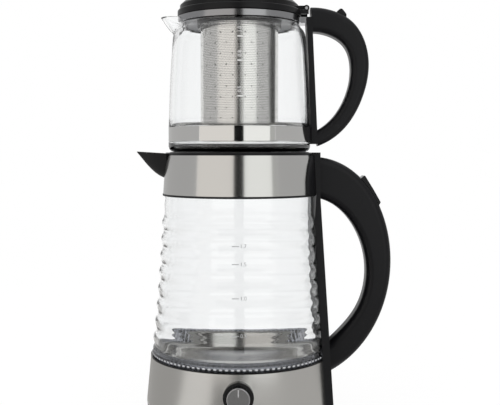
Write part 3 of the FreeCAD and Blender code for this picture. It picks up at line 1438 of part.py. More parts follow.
def lip_body(inset):
    """The pulled lip as a leaning cone whose tip reaches out at the glass rim."""
    top_z = TEAPOT_TOP_Z - 0.5 + inset
    top_r = LIP_HALF - inset
    low_r = 4.5 - min(inset, 2.5)
    bottom_z = LIP_BOTTOM_Z + 0.9 * inset
    top_centre = -(LIP_REACH - LIP_HALF)
    low_centre = -(TEAPOT_SHOULDER_R - 4.0)
    low = Part.Wire(Part.makeCircle(low_r, Vector(low_centre, 0, bottom_z)))
    middle_r = between(0.45, 0, low_r, 1, top_r) + 1.2
    middle_centre = between(0.45, 0, low_centre, 1, top_centre) - 0.8
    middle_z = between(0.45, 0, bottom_z, 1, top_z)
    middle = Part.Wire(Part.makeCircle(middle_r, Vector(middle_centre, 0, middle_z)))
    high = Part.Wire(Part.makeCircle(top_r, Vector(top_centre, 0, top_z)))
    return outward(Part.makeLoft([low, middle, high], True, True))


def teapot_band():
    outer_r = TEAPOT_BAND_R + TEAPOT_BAND_PROUD
    return ring(outer_r, TEAPOT_BAND_R + 0.05, TEAPOT_BAND_BOTTOM_Z, TEAPOT_BAND_TOP_Z)


def neck_ring():
    inner_r = TEAPOT_NECK_R + 0.05
    outer_r = inner_r + NECK_RING_THICK
    band = ring(outer_r, inner_r, NECK_RING_BOTTOM_Z, NECK_RING_TOP_Z)
    lip_half = LIP_HALF + 2.5
    gap = block((-FAR, -lip_half, NECK_RING_BOTTOM_Z), (-inner_r / 2, lip_half, NECK_RING_TOP_Z))
    link = block(
        (outer_r - 1.5, -POT_STRAP_HALF + 2, NECK_RING_BOTTOM_Z),
        (POT_STRAP_TOP_FACE_X, POT_STRAP_HALF - 2, NECK_RING_TOP_Z),
    )
    link_r = POT_STRAP_TOP_FACE_X - POT_STRAP_THICK - SEAT_GAP
    link = link.common(ring(link_r, inner_r + 0.5, NECK_RING_BOTTOM_Z, NECK_RING_TOP_Z))
    return joined([band.cut(gap), link])


def pot_strap():
    """The thin black strap between the teapot's glass and its handle."""
    band_r = TEAPOT_BAND_R + TEAPOT_BAND_PROUD + MOVING_GAP
    side = side_prism(
        [
            (STRAP_TRIM_X, POT_STRAP_BOTTOM_Z),
            (POT_STRAP_BOTTOM_FACE_X, POT_STRAP_BOTTOM_Z),
            (POT_STRAP_TOP_FACE_X, POT_STRAP_TOP_Z),
            (STRAP_TRIM_X, POT_STRAP_TOP_Z),
        ],
        POT_STRAP_HALF,
    )
    inner_low = POT_STRAP_BOTTOM_FACE_X - POT_STRAP_THICK
    inner_high = POT_STRAP_TOP_FACE_X - POT_STRAP_THICK
    core = lathe(
        [
            (0, POT_STRAP_BOTTOM_Z),
            (band_r, POT_STRAP_BOTTOM_Z),
            (band_r, TEAPOT_BAND_TOP_Z + 0.6),
            (between(TEAPOT_MID_Z, POT_STRAP_BOTTOM_Z, inner_low, POT_STRAP_TOP_Z, inner_high), TEAPOT_MID_Z),
            (inner_high, POT_STRAP_TOP_Z),
            (0, POT_STRAP_TOP_Z),
        ]
    )
    return side.cut(core)


def band_clamp():
    """The black shoe that closes the steel band under the handle."""
    band_r = TEAPOT_BAND_R + TEAPOT_BAND_PROUD
    low = TEAPOT_BAND_BOTTOM_Z - 0.5
    high = TEAPOT_BAND_TOP_Z + 0.5
    shoe = ring(band_r + BAND_CLAMP_THICK, band_r + 0.02, low, high)
    shoe = shoe.common(block((STRAP_TRIM_X, -BAND_CLAMP_HALF, low), (FAR, BAND_CLAMP_HALF, high)))
    strap_half_width = POT_STRAP_HALF + SEAT_GAP
    return shoe.cut(block((STRAP_TRIM_X, -strap_half_width, low), (FAR, strap_half_width, high)))


def pot_handle_lines():
    face = pot_strap_face_x
    outer = [(POT_HANDLE_HEAD_X, POT_HANDLE_TOP_Z)] + list(POT_HANDLE_OUTER)
    outer.append((face(POT_HANDLE_BOTTOM_Z), POT_HANDLE_BOTTOM_Z))
    inner = [(face(POT_HANDLE_INNER_TOP_Z), POT_HANDLE_INNER_TOP_Z)] + list(POT_HANDLE_INNER)
    inner.append((face(POT_HANDLE_INNER_BOTTOM_Z), POT_HANDLE_INNER_BOTTOM_Z))
    return outer, inner


def pot_handle_whole():
    outer, inner = pot_handle_lines()
    half = POT_HANDLE_WIDTH / 2
    body = loop_prism(outer, inner, half, POT_HANDLE_ROUND)
    hollow = loop_hollow(outer, inner, half)
    root = side_prism(
        [
            (STRAP_TRIM_X, POT_HANDLE_TOP_Z + HANDLE_ROOT_BACK),
            (POT_STRAP_TOP_FACE_X + POT_HANDLE_ROOT_WALL, POT_HANDLE_TOP_Z + HANDLE_ROOT_BACK),
            (POT_STRAP_BOTTOM_FACE_X + POT_HANDLE_ROOT_WALL, POT_HANDLE_BOTTOM_Z - HANDLE_ROOT_BACK),
            (STRAP_TRIM_X, POT_HANDLE_BOTTOM_Z - HANDLE_ROOT_BACK),
        ],
        half,
    )
    return body.cut(hollow.cut(root))


def pot_button():
    """The ridge on the teapot handle that is pressed to free the lid."""
    half = POT_BUTTON_WIDTH / 2
    left = POT_BUTTON_X - POT_BUTTON_LENGTH / 2
    right = POT_BUTTON_X + POT_BUTTON_LENGTH / 2
    root_z = POT_BUTTON_TOP_Z - POT_BUTTON_HEIGHT
    return side_prism(
        [
            (left, root_z),
            (left, POT_BUTTON_TOP_Z - 4.0, 2.0),
            (POT_BUTTON_X, POT_BUTTON_TOP_Z, 2.2),
            (right, POT_BUTTON_TOP_Z - 5.6, 2.0),
            (right, root_z),
        ],
        half,
    )


def pot_button_shaft(extra):
    """The straight way through the handle cover that the button slides in."""
    half = POT_BUTTON_WIDTH / 2 + extra
    left = POT_BUTTON_X - POT_BUTTON_LENGTH / 2 - extra
    right = POT_BUTTON_X + POT_BUTTON_LENGTH / 2 + extra
    bottom = POT_BUTTON_TOP_Z - POT_BUTTON_HEIGHT - POT_BUTTON_TRAVEL - MOVING_GAP
    return block((left, -half, bottom), (right, half, POT_BUTTON_TOP_Z + 4))


def pot_handle_parts():
    whole = pot_handle_whole()
    zone = seam_zone(pot_handle_lines()[0], POT_HANDLE_SEAM_DEPTH)
    shaft = pot_button_shaft(MOVING_GAP)
    behind = behind_face(pot_strap_face_x, POT_STRAP_BOTTOM_Z, POT_STRAP_TOP_Z)
    whole = whole.cut([shaft, behind])
    return whole.cut(zone), whole.common(zone)


# Infuser

def infuser_collar():
    bore_r = INFUSER_PLUG_R - INFUSER_PLUG_WALL
    collar = lathe(
        [
            (INFUSER_PLUG_R, INFUSER_PLUG_BOTTOM_Z),
            (INFUSER_PLUG_R, TEAPOT_TOP_Z),
            (INFUSER_FLANGE_R, TEAPOT_TOP_Z, 0.6),
            (INFUSER_FLANGE_R, INFUSER_TOP_Z, 1.2),
            (bore_r, INFUSER_TOP_Z),
            (bore_r, INFUSER_PLUG_BOTTOM_Z),
        ]
    )
    groove = ring(INFUSER_PLUG_R + 1, INFUSER_PLUG_R - INFUSER_GROOVE_DEPTH, GROOVE_BOTTOM_Z, GROOVE_TOP_Z)
    window = pour_window(PLATE_Z + PLATE_THICK + 0.4, TEAPOT_TOP_Z - 0.8)
    collar = collar.cut([groove, window])
    collar = joined([collar] + hinge_ears())
    return collar.cut([hinge_rod(HINGE_PIN_R), knuckle_room()])


def pour_window(bottom, top):
    """The way for the tea through the collar's wall, behind the pulled lip."""
    return block((-FAR, -POUR_WINDOW_HALF, bottom), (-BASKET_R, POUR_WINDOW_HALF, top))


def infuser_gasket():
    outer_r = TEAPOT_NECK_R - TEAPOT_WALL - MOVING_GAP
    gasket = ring(outer_r, INFUSER_PLUG_R - INFUSER_GROOVE_DEPTH, GROOVE_BOTTOM_Z, GROOVE_TOP_Z)
    return gasket.cut(pour_window(INFUSER_PLUG_BOTTOM_Z, TEAPOT_TOP_Z))


def hinge_rod(radius, extra=0.0):
    half = HINGE_KNUCKLE_HALF + HINGE_EAR_THICK + extra
    return rod(radius, (HINGE_X, -half, HINGE_Z), (HINGE_X, half, HINGE_Z))


def hinge_ears():
    """Two ears on the collar's handle side that hold the lid's hinge pin."""
    ears = []
    for side in (-1, 1):
        near = side * (HINGE_KNUCKLE_HALF + MOVING_GAP)
        far = side * (HINGE_KNUCKLE_HALF + HINGE_EAR_THICK)
        ears.append(rod(HINGE_KNUCKLE_R, (HINGE_X, near, HINGE_Z), (HINGE_X, far, HINGE_Z)))
        low_y, high_y = sorted((near, far))
        ears.append(
            block(
                (INFUSER_FLANGE_R - 4, low_y, HINGE_Z - HINGE_KNUCKLE_R - 2.4),
                (HINGE_X + HINGE_KNUCKLE_R - 0.6, high_y, HINGE_Z - 1.8),
            )
        )
    return ears


def knuckle_room():
    """Room for the lid's knuckle to turn between the ears."""
    half = HINGE_KNUCKLE_HALF + MOVING_GAP
    return rod(HINGE_KNUCKLE_R + MOVING_GAP, (HINGE_X, -half, HINGE_Z), (HINGE_X, half, HINGE_Z))


def infuser_plate():
    return ring(INFUSER_PLUG_R - INFUSER_PLUG_WALL, SOCKET_RING_R, PLATE_Z, PLATE_Z + PLATE_THICK)


def socket_ring():
    return lathe(
        [
            (BASKET_R + 0.05, SOCKET_RING_BOTTOM_Z),
            (SOCKET_RING_R, SOCKET_RING_BOTTOM_Z, 0.8),
            (SOCKET_RING_R, PLATE_Z),
            (SOCKET_RING_R + 1.5, PLATE_Z + PLATE_THICK),
            (SOCKET_RING_R + 1.5, PLATE_Z + PLATE_THICK + 1.5),
            (SOCKET_RING_R, PLATE_Z + PLATE_THICK + 2.0),
            (SOCKET_RING_R, SOCKET_RING_TOP_Z),
            (BASKET_R + 0.05, SOCKET_RING_TOP_Z),
        ]
    ).cut(ring(SOCKET_RING_R + 3, SOCKET_RING_R, PLATE_Z, PLATE_Z + PLATE_THICK))


def infuser_basket():
    sheet = BASKET_SHEET
    wall = lathe(
        [
            (BASKET_R, BASKET_BOTTOM_Z),
            (BASKET_R, SOCKET_RING_TOP_Z),
            (BASKET_BEAD_R, SOCKET_RING_TOP_Z),
            (BASKET_BEAD_R, BASKET_TOP_Z, 0.4),
            (BASKET_R - sheet, BASKET_TOP_Z, 0.4),
            (BASKET_R - sheet, BASKET_BOTTOM_Z),
        ]
    )
    step = (BASKET_HOLES_TOP_Z - BASKET_HOLES_BOTTOM_Z) / (BASKET_HOLE_ROWS - 1)
    holes = []
    for row in range(BASKET_HOLE_ROWS):
        z = BASKET_HOLES_BOTTOM_Z + row * step
        hole = rod(BASKET_HOLE_R, (BASKET_R - 3, 0, z), (BASKET_R + 3, 0, z))
        first = (row % 2) * 180.0 / BASKET_HOLES_ROUND
        holes += around(hole, BASKET_HOLES_ROUND, first)
    return wall.cut(Part.makeCompound(holes))


def basket_floor():
    radius = BASKET_R - BASKET_SHEET
    floor = disc(radius, BASKET_BOTTOM_Z, BASKET_BOTTOM_Z + BASKET_SHEET)
    holes = [disc(BASKET_HOLE_R, BASKET_BOTTOM_Z - 1, BASKET_BOTTOM_Z + 2)]
    for circle_r in FLOOR_HOLE_RINGS:
        hole = Part.makeCylinder(BASKET_HOLE_R, 3, Vector(circle_r, 0, BASKET_BOTTOM_Z - 1))
        holes += around(hole, int(circle_r * FLOOR_HOLES_PER_R))
    return floor.cut(Part.makeCompound(holes))


# Teapot lid

def pot_lid():
    wall = POT_LID_WALL
    top = POT_LID_TOP_Z
    bottom = INFUSER_TOP_Z + POT_LID_GAP
    crown_r = POT_LID_SLOPE_R * 0.55
    shell = lathe(
        [
            (0, top),
            (crown_r, top, POT_LID_CROWN_ROUND),
            (POT_LID_SLOPE_R, POT_LID_SLOPE_Z, 6.0),
            (POT_LID_R, POT_LID_EDGE_Z, 1.0),
            (POT_LID_R, bottom),
            (POT_LID_R - wall, bottom),
            (POT_LID_R - wall, POT_LID_EDGE_Z - wall * 0.5),
            (POT_LID_SLOPE_R - wall, POT_LID_SLOPE_Z - wall, 4.0),
            (crown_r, top - wall, POT_LID_CROWN_ROUND),
            (0, top - wall),
        ]
    )
    half = HINGE_KNUCKLE_HALF
    knuckle = rod(HINGE_KNUCKLE_R, (HINGE_X, -half, HINGE_Z), (HINGE_X, half, HINGE_Z))
    arm = block(
        (POT_LID_R - 3, -half, bottom + 0.4),
        (HINGE_X, half, HINGE_Z + HINGE_KNUCKLE_R),
    )
    arm = arm.cut(disc(POT_LID_R - wall, bottom, POT_LID_TOP_Z))
    return joined([shell, arm, knuckle]).cut(hinge_rod(HINGE_PIN_R + SHAFT_GAP, 1.0))


def pot_lid_liner():
    """The flat inner disc that closes the lid's underside."""
    bottom = INFUSER_TOP_Z + POT_LID_GAP
    return disc(POT_LID_R - POT_LID_WALL, bottom, bottom + POT_LINER_THICK)


def hinge_pin():
    return hinge_rod(HINGE_PIN_R)


def build():
    os.makedirs("parts", exist_ok=True)
    write("power_base_cover", power_base_cover())
    write("power_base_bottom", power_base_bottom())
    write("foot_ring", foot_ring())
    write("base_connector", base_connector())
    write("base_contacts", base_contacts())
    write("base_screws", base_screws())
    write("cord_gland", cord_gland())
    write("bottom_cover", bottom_cover())
    write("bottom_screws", bottom_screws())
    write("base_frame", base_frame())
    write("base_shell", base_shell())
    write("trim_ring", trim_ring())
    write("light_ring", light_ring())
    write("lamp_strip", [lamp_strip()] + strip_lamps())
    write("heater_dish", heater_dish())
    write("glass_gaskets", [lower_gasket(), neck_gasket()])
    write("heat_spreader", heat_spreader())
    write("heating_element", heating_element())
    write("thermal_sensor", thermal_sensor())
    write("kettle_connector", kettle_connector())
    write("connector_contacts", connector_contacts())
    write("control_board", control_board())
    write("board_components", board_components())
    write("selector_switch", selector_switch())
    write("knob_spindle", knob_spindle())
    write("knob", knob())
    write("knob_bezel", knob_bezel())
    write("glass_body", glass_body())
    write("collar_band", collar_band())
    write("collar_gasket", collar_gasket())
    write("top_rim", top_rim())
    write("spout", spout())
    write("handle_saddle", handle_saddle())
    write("handle_strap", handle_strap())
    write("handle_screws", handle_screws())
    grip, cover = handle_parts()
    write("handle_grip", grip)
    write("handle_cover", cover)
    write("lid_button", lid_button())
    write("button_pin", button_pin())
    write("button_spring", button_spring())
    write("release_rod", release_rod())
    write("kettle_lid", kettle_lid())
    write("kettle_lid_plate", kettle_lid_plate())
    write("lid_gasket", lid_gasket())
    write("teapot_glass", teapot_glass())
    write("teapot_band", teapot_band())
    write("neck_ring", neck_ring())
    write("teapot_strap", pot_strap())
    write("band_clamp", band_clamp())
    pot_grip, pot_cover = pot_handle_parts()
    write("teapot_handle_grip", pot_grip)
    write("teapot_handle_cover", pot_cover)
    write("teapot_button", pot_button())
    write("infuser_collar", infuser_collar())
    write("infuser_gasket", infuser_gasket())
    write("infuser_plate", infuser_plate())
    write("socket_ring", socket_ring())
    write("infuser_basket", joined([infuser_basket(), basket_floor()]))
    write("teapot_lid", pot_lid())
    write("lid_liner", pot_lid_liner())
    write("hinge_pin", hinge_pin())


build()
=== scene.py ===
import json
import math

import bmesh
import bpy
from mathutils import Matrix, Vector


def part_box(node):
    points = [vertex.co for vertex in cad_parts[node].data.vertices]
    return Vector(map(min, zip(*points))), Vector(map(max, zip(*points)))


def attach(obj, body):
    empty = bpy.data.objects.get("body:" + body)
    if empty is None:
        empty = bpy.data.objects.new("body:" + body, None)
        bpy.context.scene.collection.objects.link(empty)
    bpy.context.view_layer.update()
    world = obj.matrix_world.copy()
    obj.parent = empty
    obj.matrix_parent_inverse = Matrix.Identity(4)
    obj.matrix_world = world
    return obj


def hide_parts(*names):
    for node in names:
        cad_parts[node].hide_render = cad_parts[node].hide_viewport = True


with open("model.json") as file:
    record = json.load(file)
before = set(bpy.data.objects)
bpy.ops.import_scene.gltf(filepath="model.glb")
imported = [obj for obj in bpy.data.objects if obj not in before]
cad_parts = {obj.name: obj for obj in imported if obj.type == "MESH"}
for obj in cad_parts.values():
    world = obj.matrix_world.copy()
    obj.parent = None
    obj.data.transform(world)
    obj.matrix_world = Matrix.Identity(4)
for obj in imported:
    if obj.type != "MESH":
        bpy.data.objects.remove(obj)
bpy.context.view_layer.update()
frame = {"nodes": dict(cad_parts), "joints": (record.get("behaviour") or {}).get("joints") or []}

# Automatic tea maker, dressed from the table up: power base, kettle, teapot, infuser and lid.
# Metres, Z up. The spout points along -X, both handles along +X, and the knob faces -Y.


# Power base
# A black moulded disc on a rubber ring. Its plateau centres the kettle and its column carries the
# contacts. The photograph is cropped above it, so its finish is that of the kettle's own mouldings.

def effect_group(name, inputs, outputs):
    """A shader group with named float inputs and outputs, and its two end nodes."""
    tree = bpy.data.node_groups.new(name, "ShaderNodeTree")
    for label, value in inputs.items():
        socket = tree.interface.new_socket(name=label, in_out="INPUT", socket_type="NodeSocketFloat")
        socket.default_value = value
    for label in outputs:
        tree.interface.new_socket(name=label, in_out="OUTPUT", socket_type="NodeSocketFloat")
    return tree, tree.nodes.new("NodeGroupInput"), tree.nodes.new("NodeGroupOutput")


def calculation(tree, operation, first, second=0.0, third=None):
    """A Math node; each operand is a number or an output socket."""
    node = tree.nodes.new("ShaderNodeMath")
    node.operation = operation
    for index, operand in enumerate((first, second, third)):
        if operand is None:
            continue
        if isinstance(operand, (int, float)):
            node.inputs[index].default_value = operand
        else:
            tree.links.new(operand, node.inputs[index])
    return node.outputs[0]


def noise(tree, coordinates, scale, detail, roughness=0.5):
    """A Noise node; its scale is a number or an output socket."""
    node = tree.nodes.new("ShaderNodeTexNoise")
    node.inputs["Detail"].default_value = detail
    node.inputs["Roughness"].default_value = roughness
    if isinstance(scale, (int, float)):
        node.inputs["Scale"].default_value = scale
    else:
        tree.links.new(scale, node.inputs["Scale"])
    tree.links.new(coordinates, node.inputs["Vector"])
    return node.outputs["Fac"]


# Spark-eroded grain of a mould, and the slow cloudiness and rubbed edges of a handled moulding
EDGE_START = 0.52
EDGE_GAIN = 6.0
CLOUD_SCALE = 38.0
moulding_finish, given, result = effect_group(
    "moulding finish",
    {"Grain Size": 2400.0, "Grain": 0.5, "Gloss": 0.4, "Cloud": 0.06, "Rub": 0.1},
    ["Height", "Roughness", "Shade"],
)
place = moulding_finish.nodes.new("ShaderNodeTexCoord").outputs["Object"]
grain = noise(moulding_finish, place, given.outputs["Grain Size"], detail=2.0)
height = calculation(moulding_finish, "MULTIPLY", grain, given.outputs["Grain"])
clouds = noise(moulding_finish, place, CLOUD_SCALE, detail=4.0)
drift = calculation(moulding_finish, "SUBTRACT", clouds, 0.5)
drift = calculation(moulding_finish, "MULTIPLY", drift, given.outputs["Cloud"])
bend = moulding_finish.nodes.new("ShaderNodeNewGeometry").outputs["Pointiness"]
edges = calculation(moulding_finish, "SUBTRACT", bend, EDGE_START)
edges = calculation(moulding_finish, "MULTIPLY", edges, EDGE_GAIN)
edges = calculation(moulding_finish, "MAXIMUM", edges, 0.0)
edges = calculation(moulding_finish, "MINIMUM", edges, 1.0)
polish = calculation(moulding_finish, "MULTIPLY", edges, given.outputs["Rub"])
rough = calculation(moulding_finish, "ADD", given.outputs["Gloss"], drift)
rough = calculation(moulding_finish, "SUBTRACT", rough, polish)
shade = calculation(moulding_finish, "ADD", drift, polish)
shade = calculation(moulding_finish, "ADD", shade, 0.5)
for label, value in (("Height", height), ("Roughness", rough), ("Shade", shade)):
    moulding_finish.links.new(value, result.inputs[label])


def place_effect(tree, effect, values):
    """One use of a shader group in a material, with its own values."""
    node = tree.nodes.new("ShaderNodeGroup")
    node.node_tree = effect
    for label, value in values.items():
        node.inputs[label].default_value = value
    return node


def shade_between(tree, amount, dark, light):
    """A colour between two, chosen by a value that runs from 0 to 1."""
    node = tree.nodes.new("ShaderNodeMix")
    node.data_type = "RGBA"
    node.inputs["A"].default_value = (*dark, 1.0)
    node.inputs["B"].default_value = (*light, 1.0)
    tree.links.new(amount, node.inputs["Factor"])
    return node.outputs["Result"]


def bump(tree, height, strength, distance):
    """The normal of a surface with this relief."""
    node = tree.nodes.new("ShaderNodeBump")
    node.inputs["Strength"].default_value = strength
    node.inputs["Distance"].default_value = distance
    tree.links.new(height, node.inputs["Height"])
    return node.outputs["Normal"]


def moulding(
    name, dark, light, gloss, grain_depth=0.00003, cloud=0.08, rub=0.1, grain_size=2400.0, shine=0.2
):
    """A moulded plastic or rubber: two near colours, the mould's grain, and rubbed edges."""
    material = bpy.data.materials.new(name)
    material.use_nodes = True
    tree = material.node_tree
    shader = tree.nodes["Principled BSDF"]
    shader.inputs["Specular IOR Level"].default_value = shine
    values = {"Grain Size": grain_size, "Gloss": gloss, "Cloud": cloud, "Rub": rub, "Grain": 1.0}
    finish = place_effect(tree, moulding_finish, values)
    colour = shade_between(tree, finish.outputs["Shade"], dark, light)
    normal = bump(tree, finish.outputs["Height"], strength=0.35, distance=grain_depth)
    tree.links.new(colour, shader.inputs["Base Color"])
    tree.links.new(finish.outputs["Roughness"], shader.inputs["Roughness"])
    tree.links.new(normal, shader.inputs["Normal"])
    return material


def dress(material, *nodes):
    """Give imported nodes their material."""
    for name in nodes:
        mesh = frame["nodes"][name].data
        mesh.materials.clear()
        mesh.materials.append(material)


base_black = moulding("base black", (0.005, 0.005, 0.006), (0.013, 0.013, 0.014), gloss=0.42)
connector_black = moulding(
    "connector black", (0.014, 0.014, 0.016), (0.026, 0.026, 0.028), gloss=0.3, grain_depth=0.00001
)
foot_rubber = moulding(
    "foot rubber", (0.018, 0.018, 0.018), (0.035, 0.035, 0.034),
    gloss=0.78, grain_depth=0.00006, cloud=0.1, rub=0.0, grain_size=1500.0,
)
dress(base_black, "power_base_cover", "power_base_bottom")
dress(foot_rubber, "foot_ring", "cord_gland")
dress(connector_black, "base_connector", "kettle_connector")


# Contacts and screws
# Turned brass contact rings and pin on the column, brass rings in the kettle's socket, and
# zinc-plated steel screws that hold the power base and the kettle's underside.

def round_the_axis(tree, place):
    """Sockets of a place's angle about Z and of its height."""
    parts = tree.nodes.new("ShaderNodeSeparateXYZ")
    tree.links.new(place, parts.inputs[0])
    angle = calculation(tree, "ARCTAN2", parts.outputs["Y"], parts.outputs["X"])
    return angle, parts.outputs["Z"]


# Fine turning or rolling lines that run round Z, with slow patches of dulling
LINE_SCALE = 6.0
STREAK_SHADE = 3.0
turned_finish, given, result = effect_group(
    "turned lines",
    {"Lines": 900.0, "Around": 1.0, "Gloss": 0.25, "Dulling": 0.1, "Waver": 6.0},
    ["Height", "Roughness", "Shade"],
)
place = turned_finish.nodes.new("ShaderNodeTexCoord").outputs["Object"]
angle, level = round_the_axis(turned_finish, place)
along_line = calculation(turned_finish, "MULTIPLY", angle, given.outputs["Around"])
across_lines = calculation(turned_finish, "MULTIPLY", level, given.outputs["Lines"])
unrolled = turned_finish.nodes.new("ShaderNodeCombineXYZ")
turned_finish.links.new(along_line, unrolled.inputs["X"])
turned_finish.links.new(across_lines, unrolled.inputs["Y"])
lines = noise(turned_finish, unrolled.outputs[0], LINE_SCALE, detail=4.0, roughness=0.7)
patches = noise(turned_finish, place, given.outputs["Waver"], detail=3.0)
dull = calculation(turned_finish, "SUBTRACT", patches, 0.5)
dull = calculation(turned_finish, "MULTIPLY", dull, given.outputs["Dulling"])
streak = calculation(turned_finish, "SUBTRACT", lines, 0.5)
streak = calculation(turned_finish, "MULTIPLY", streak, given.outputs["Dulling"])
rough = calculation(turned_finish, "ADD", given.outputs["Gloss"], dull)
rough = calculation(turned_finish, "ADD", rough, streak)
shade = calculation(turned_finish, "MULTIPLY", streak, STREAK_SHADE)
shade = calculation(turned_finish, "ADD", shade, 0.5)
for label, value in (("Height", lines), ("Roughness", rough), ("Shade", shade)):
    turned_finish.links.new(value, result.inputs[label])


def metal(name, dark, light, gloss, lines=900.0, around=1.0, depth=0.000004, dulling=0.1, along=0.0):
    """Bare metal with fine lines round Z. along stretches its highlights across those lines."""
    material = bpy.data.materials.new(name)
    material.use_nodes = True
    tree = material.node_tree
    shader = tree.nodes["Principled BSDF"]
    shader.inputs["Metallic"].default_value = 1.0
    shader.inputs["Anisotropic"].default_value = along
    values = {"Lines": lines, "Around": around, "Gloss": gloss, "Dulling": dulling}
    finish = place_effect(tree, turned_finish, values)
    colour = shade_between(tree, finish.outputs["Shade"], dark, light)
    normal = bump(tree, finish.outputs["Height"], strength=0.3, distance=depth)
    tree.links.new(colour, shader.inputs["Base Color"])
    tree.links.new(finish.outputs["Roughness"], shader.inputs["Roughness"])
    tree.links.new(normal, shader.inputs["Normal"])
    if along:
        tangent = tree.nodes.new("ShaderNodeTangent")
        tangent.direction_type = "RADIAL"
        tangent.axis = "Z"
        tree.links.new(tangent.outputs[0], shader.inputs["Tangent"])
    return material


contact_brass = metal("contact brass", (0.50, 0.35, 0.13), (0.72, 0.53, 0.24), gloss=0.28)
screw_zinc = metal("screw zinc", (0.36, 0.37, 0.38), (0.55, 0.56, 0.57), gloss=0.32)
dress(contact_brass, "base_contacts", "connector_contacts")
dress(screw_zinc, "base_screws", "bottom_screws")


# Kettle underside
# The glass-filled moulding that closes the kettle's bottom and the inner frame that carries the
# dish, the light strip, the board and the handle. Three screws go up through both.

frame_black = moulding("frame black", (0.006, 0.006, 0.007), (0.015, 0.015, 0.016), gloss=0.5)
dress(frame_black, "bottom_cover", "base_frame")


# Brushed base shell
# A cone of thin stainless steel, brushed round its axis, rolled in under the bottom edge. The
# knob's bezel and the handle's strap close its two openings.

shell_steel = metal(
    "shell steel", (0.46, 0.455, 0.44), (0.64, 0.635, 0.62),
    gloss=0.19, lines=1400.0, around=0.6, depth=0.000005, along=0.75,
)
dress(shell_steel, "base_shell")


# Trim ring and light ring
# A black ring covers the shell's top edge. Above it two rows of clear ribbed plastic carry the
# light of the lamps behind them, the lower row like a string of short beads whose glints are
# painted highlights: white lenses on the crests of the lower ribs.

LIGHT_RIBS = 100
LIGHT_COLUMNS = LIGHT_RIBS * 8
LIGHT_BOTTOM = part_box("light_ring")[0].z
LIGHT_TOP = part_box("light_ring")[1].z
LIGHT_MIDDLE = 0.0671
LIGHT_BORE = 0.0757
LOWER_ROOT = 0.0771
LOWER_SWELL = 0.0010
LOWER_SHARPNESS = 0.7
GROOVE_RADIUS = 0.0770
UPPER_ROOT = 0.0768
UPPER_SWELL = 0.0007
UPPER_SHARPNESS = 0.9
LENS_ARC = 0.0781
LENS_SEAT = 0.07795
LENS_MIDDLE = 0.0652
LENS_HALF_WIDTH = 0.0015
LENS_HALF_HEIGHT = 0.00085
LENS_CROWN = 0.00028


def solid_piece(name, points, faces, material, body, sharp=35.0):
    """A mesh object with outward faces, smooth but for edges sharper than the angle."""
    mesh = bpy.data.meshes.new(name)
    mesh.from_pydata(points, [], faces)
    work = bmesh.new()
    work.from_mesh(mesh)
    bmesh.ops.recalc_face_normals(work, faces=work.faces)
    for face in work.faces:
        face.smooth = True
    work.to_mesh(mesh)
    work.free()
    mesh.set_sharp_from_angle(angle=math.radians(sharp))
    mesh.materials.append(material)
    piece = bpy.data.objects.new(name, mesh)
    bpy.context.scene.collection.objects.link(piece)
    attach(piece, body)
    return piece


def turned_faces(rows, columns):
    """Quads of a closed band of rows turned about Z; each row holds the same number of points."""
    faces = []
    for row in range(rows):
        below = row * columns
        above = ((row + 1) % rows) * columns
        for column in range(columns):
            beside = (column + 1) % columns
            faces.append((below + column, below + beside, above + beside, above + column))
    return faces


def rib_swell(position, sharpness):
    """From 0 in the groove to 1 on the crest, across ribs that are one unit apart."""
    return abs(math.cos(math.pi * position)) ** sharpness


def light_ring_points():
    """Points of the ribbed ring, row by row. Each height has its share of the rib's swell."""
    lower = [
        (LIGHT_BOTTOM, 0.0), (0.0637, 0.6), (0.0642, 0.95), (0.0652, 1.0), (0.0662, 0.95), (0.0667, 0.6),
    ]
    upper = [
        (0.0674, 0.3), (0.0678, 0.8), (0.0690, 1.0), (0.0700, 0.9), (0.0705, 0.5), (LIGHT_TOP, 0.0),
    ]
    columns = []
    for column in range(LIGHT_COLUMNS):
        turn = 2 * math.pi * column / LIGHT_COLUMNS
        position = turn * LIGHT_RIBS / (2 * math.pi)
        bead = rib_swell(position, LOWER_SHARPNESS)
        rib = rib_swell(position + 0.5, UPPER_SHARPNESS)
        radii = [(LOWER_ROOT + LOWER_SWELL * bead * share, z) for z, share in lower]
        radii.append((GROOVE_RADIUS, LIGHT_MIDDLE))
        radii += [(UPPER_ROOT + UPPER_SWELL * rib * share, z) for z, share in upper]
        radii += [(LIGHT_BORE, LIGHT_TOP), (LIGHT_BORE, LIGHT_BOTTOM)]
        columns.append([(r * math.cos(turn), r * math.sin(turn), z) for r, z in radii])
    rows = len(columns[0])
    return [column[row] for row in range(rows) for column in columns], rows


def lens_mesh():
    """Points and faces of one row of short rounded lenses on the crests of the lower ribs; painted
    highlights.
    """
    points = []
    faces = []
    around = 6
    up = 5
    for lens in range(LIGHT_RIBS):
        start = len(points)
        middle = 2 * math.pi * lens / LIGHT_RIBS
        for row in range(up + 1):
            rise = math.pi * (row / up - 0.5)
            z = LENS_MIDDLE + LENS_HALF_HEIGHT * math.sin(rise)
            for column in range(around + 1):
                sweep = math.pi * (column / around - 0.5)
                turn = middle + LENS_HALF_WIDTH * math.sin(sweep) * math.cos(rise) / LENS_ARC
                radius = LENS_SEAT + LENS_CROWN * math.cos(sweep) * math.cos(rise)
                points.append((radius * math.cos(turn), radius * math.sin(turn), z))
        for row in range(up):
            for column in range(around):
                low = start + row * (around + 1) + column
                high = low + around + 1
                faces.append((low, low + 1, high + 1, high))
    return points, faces


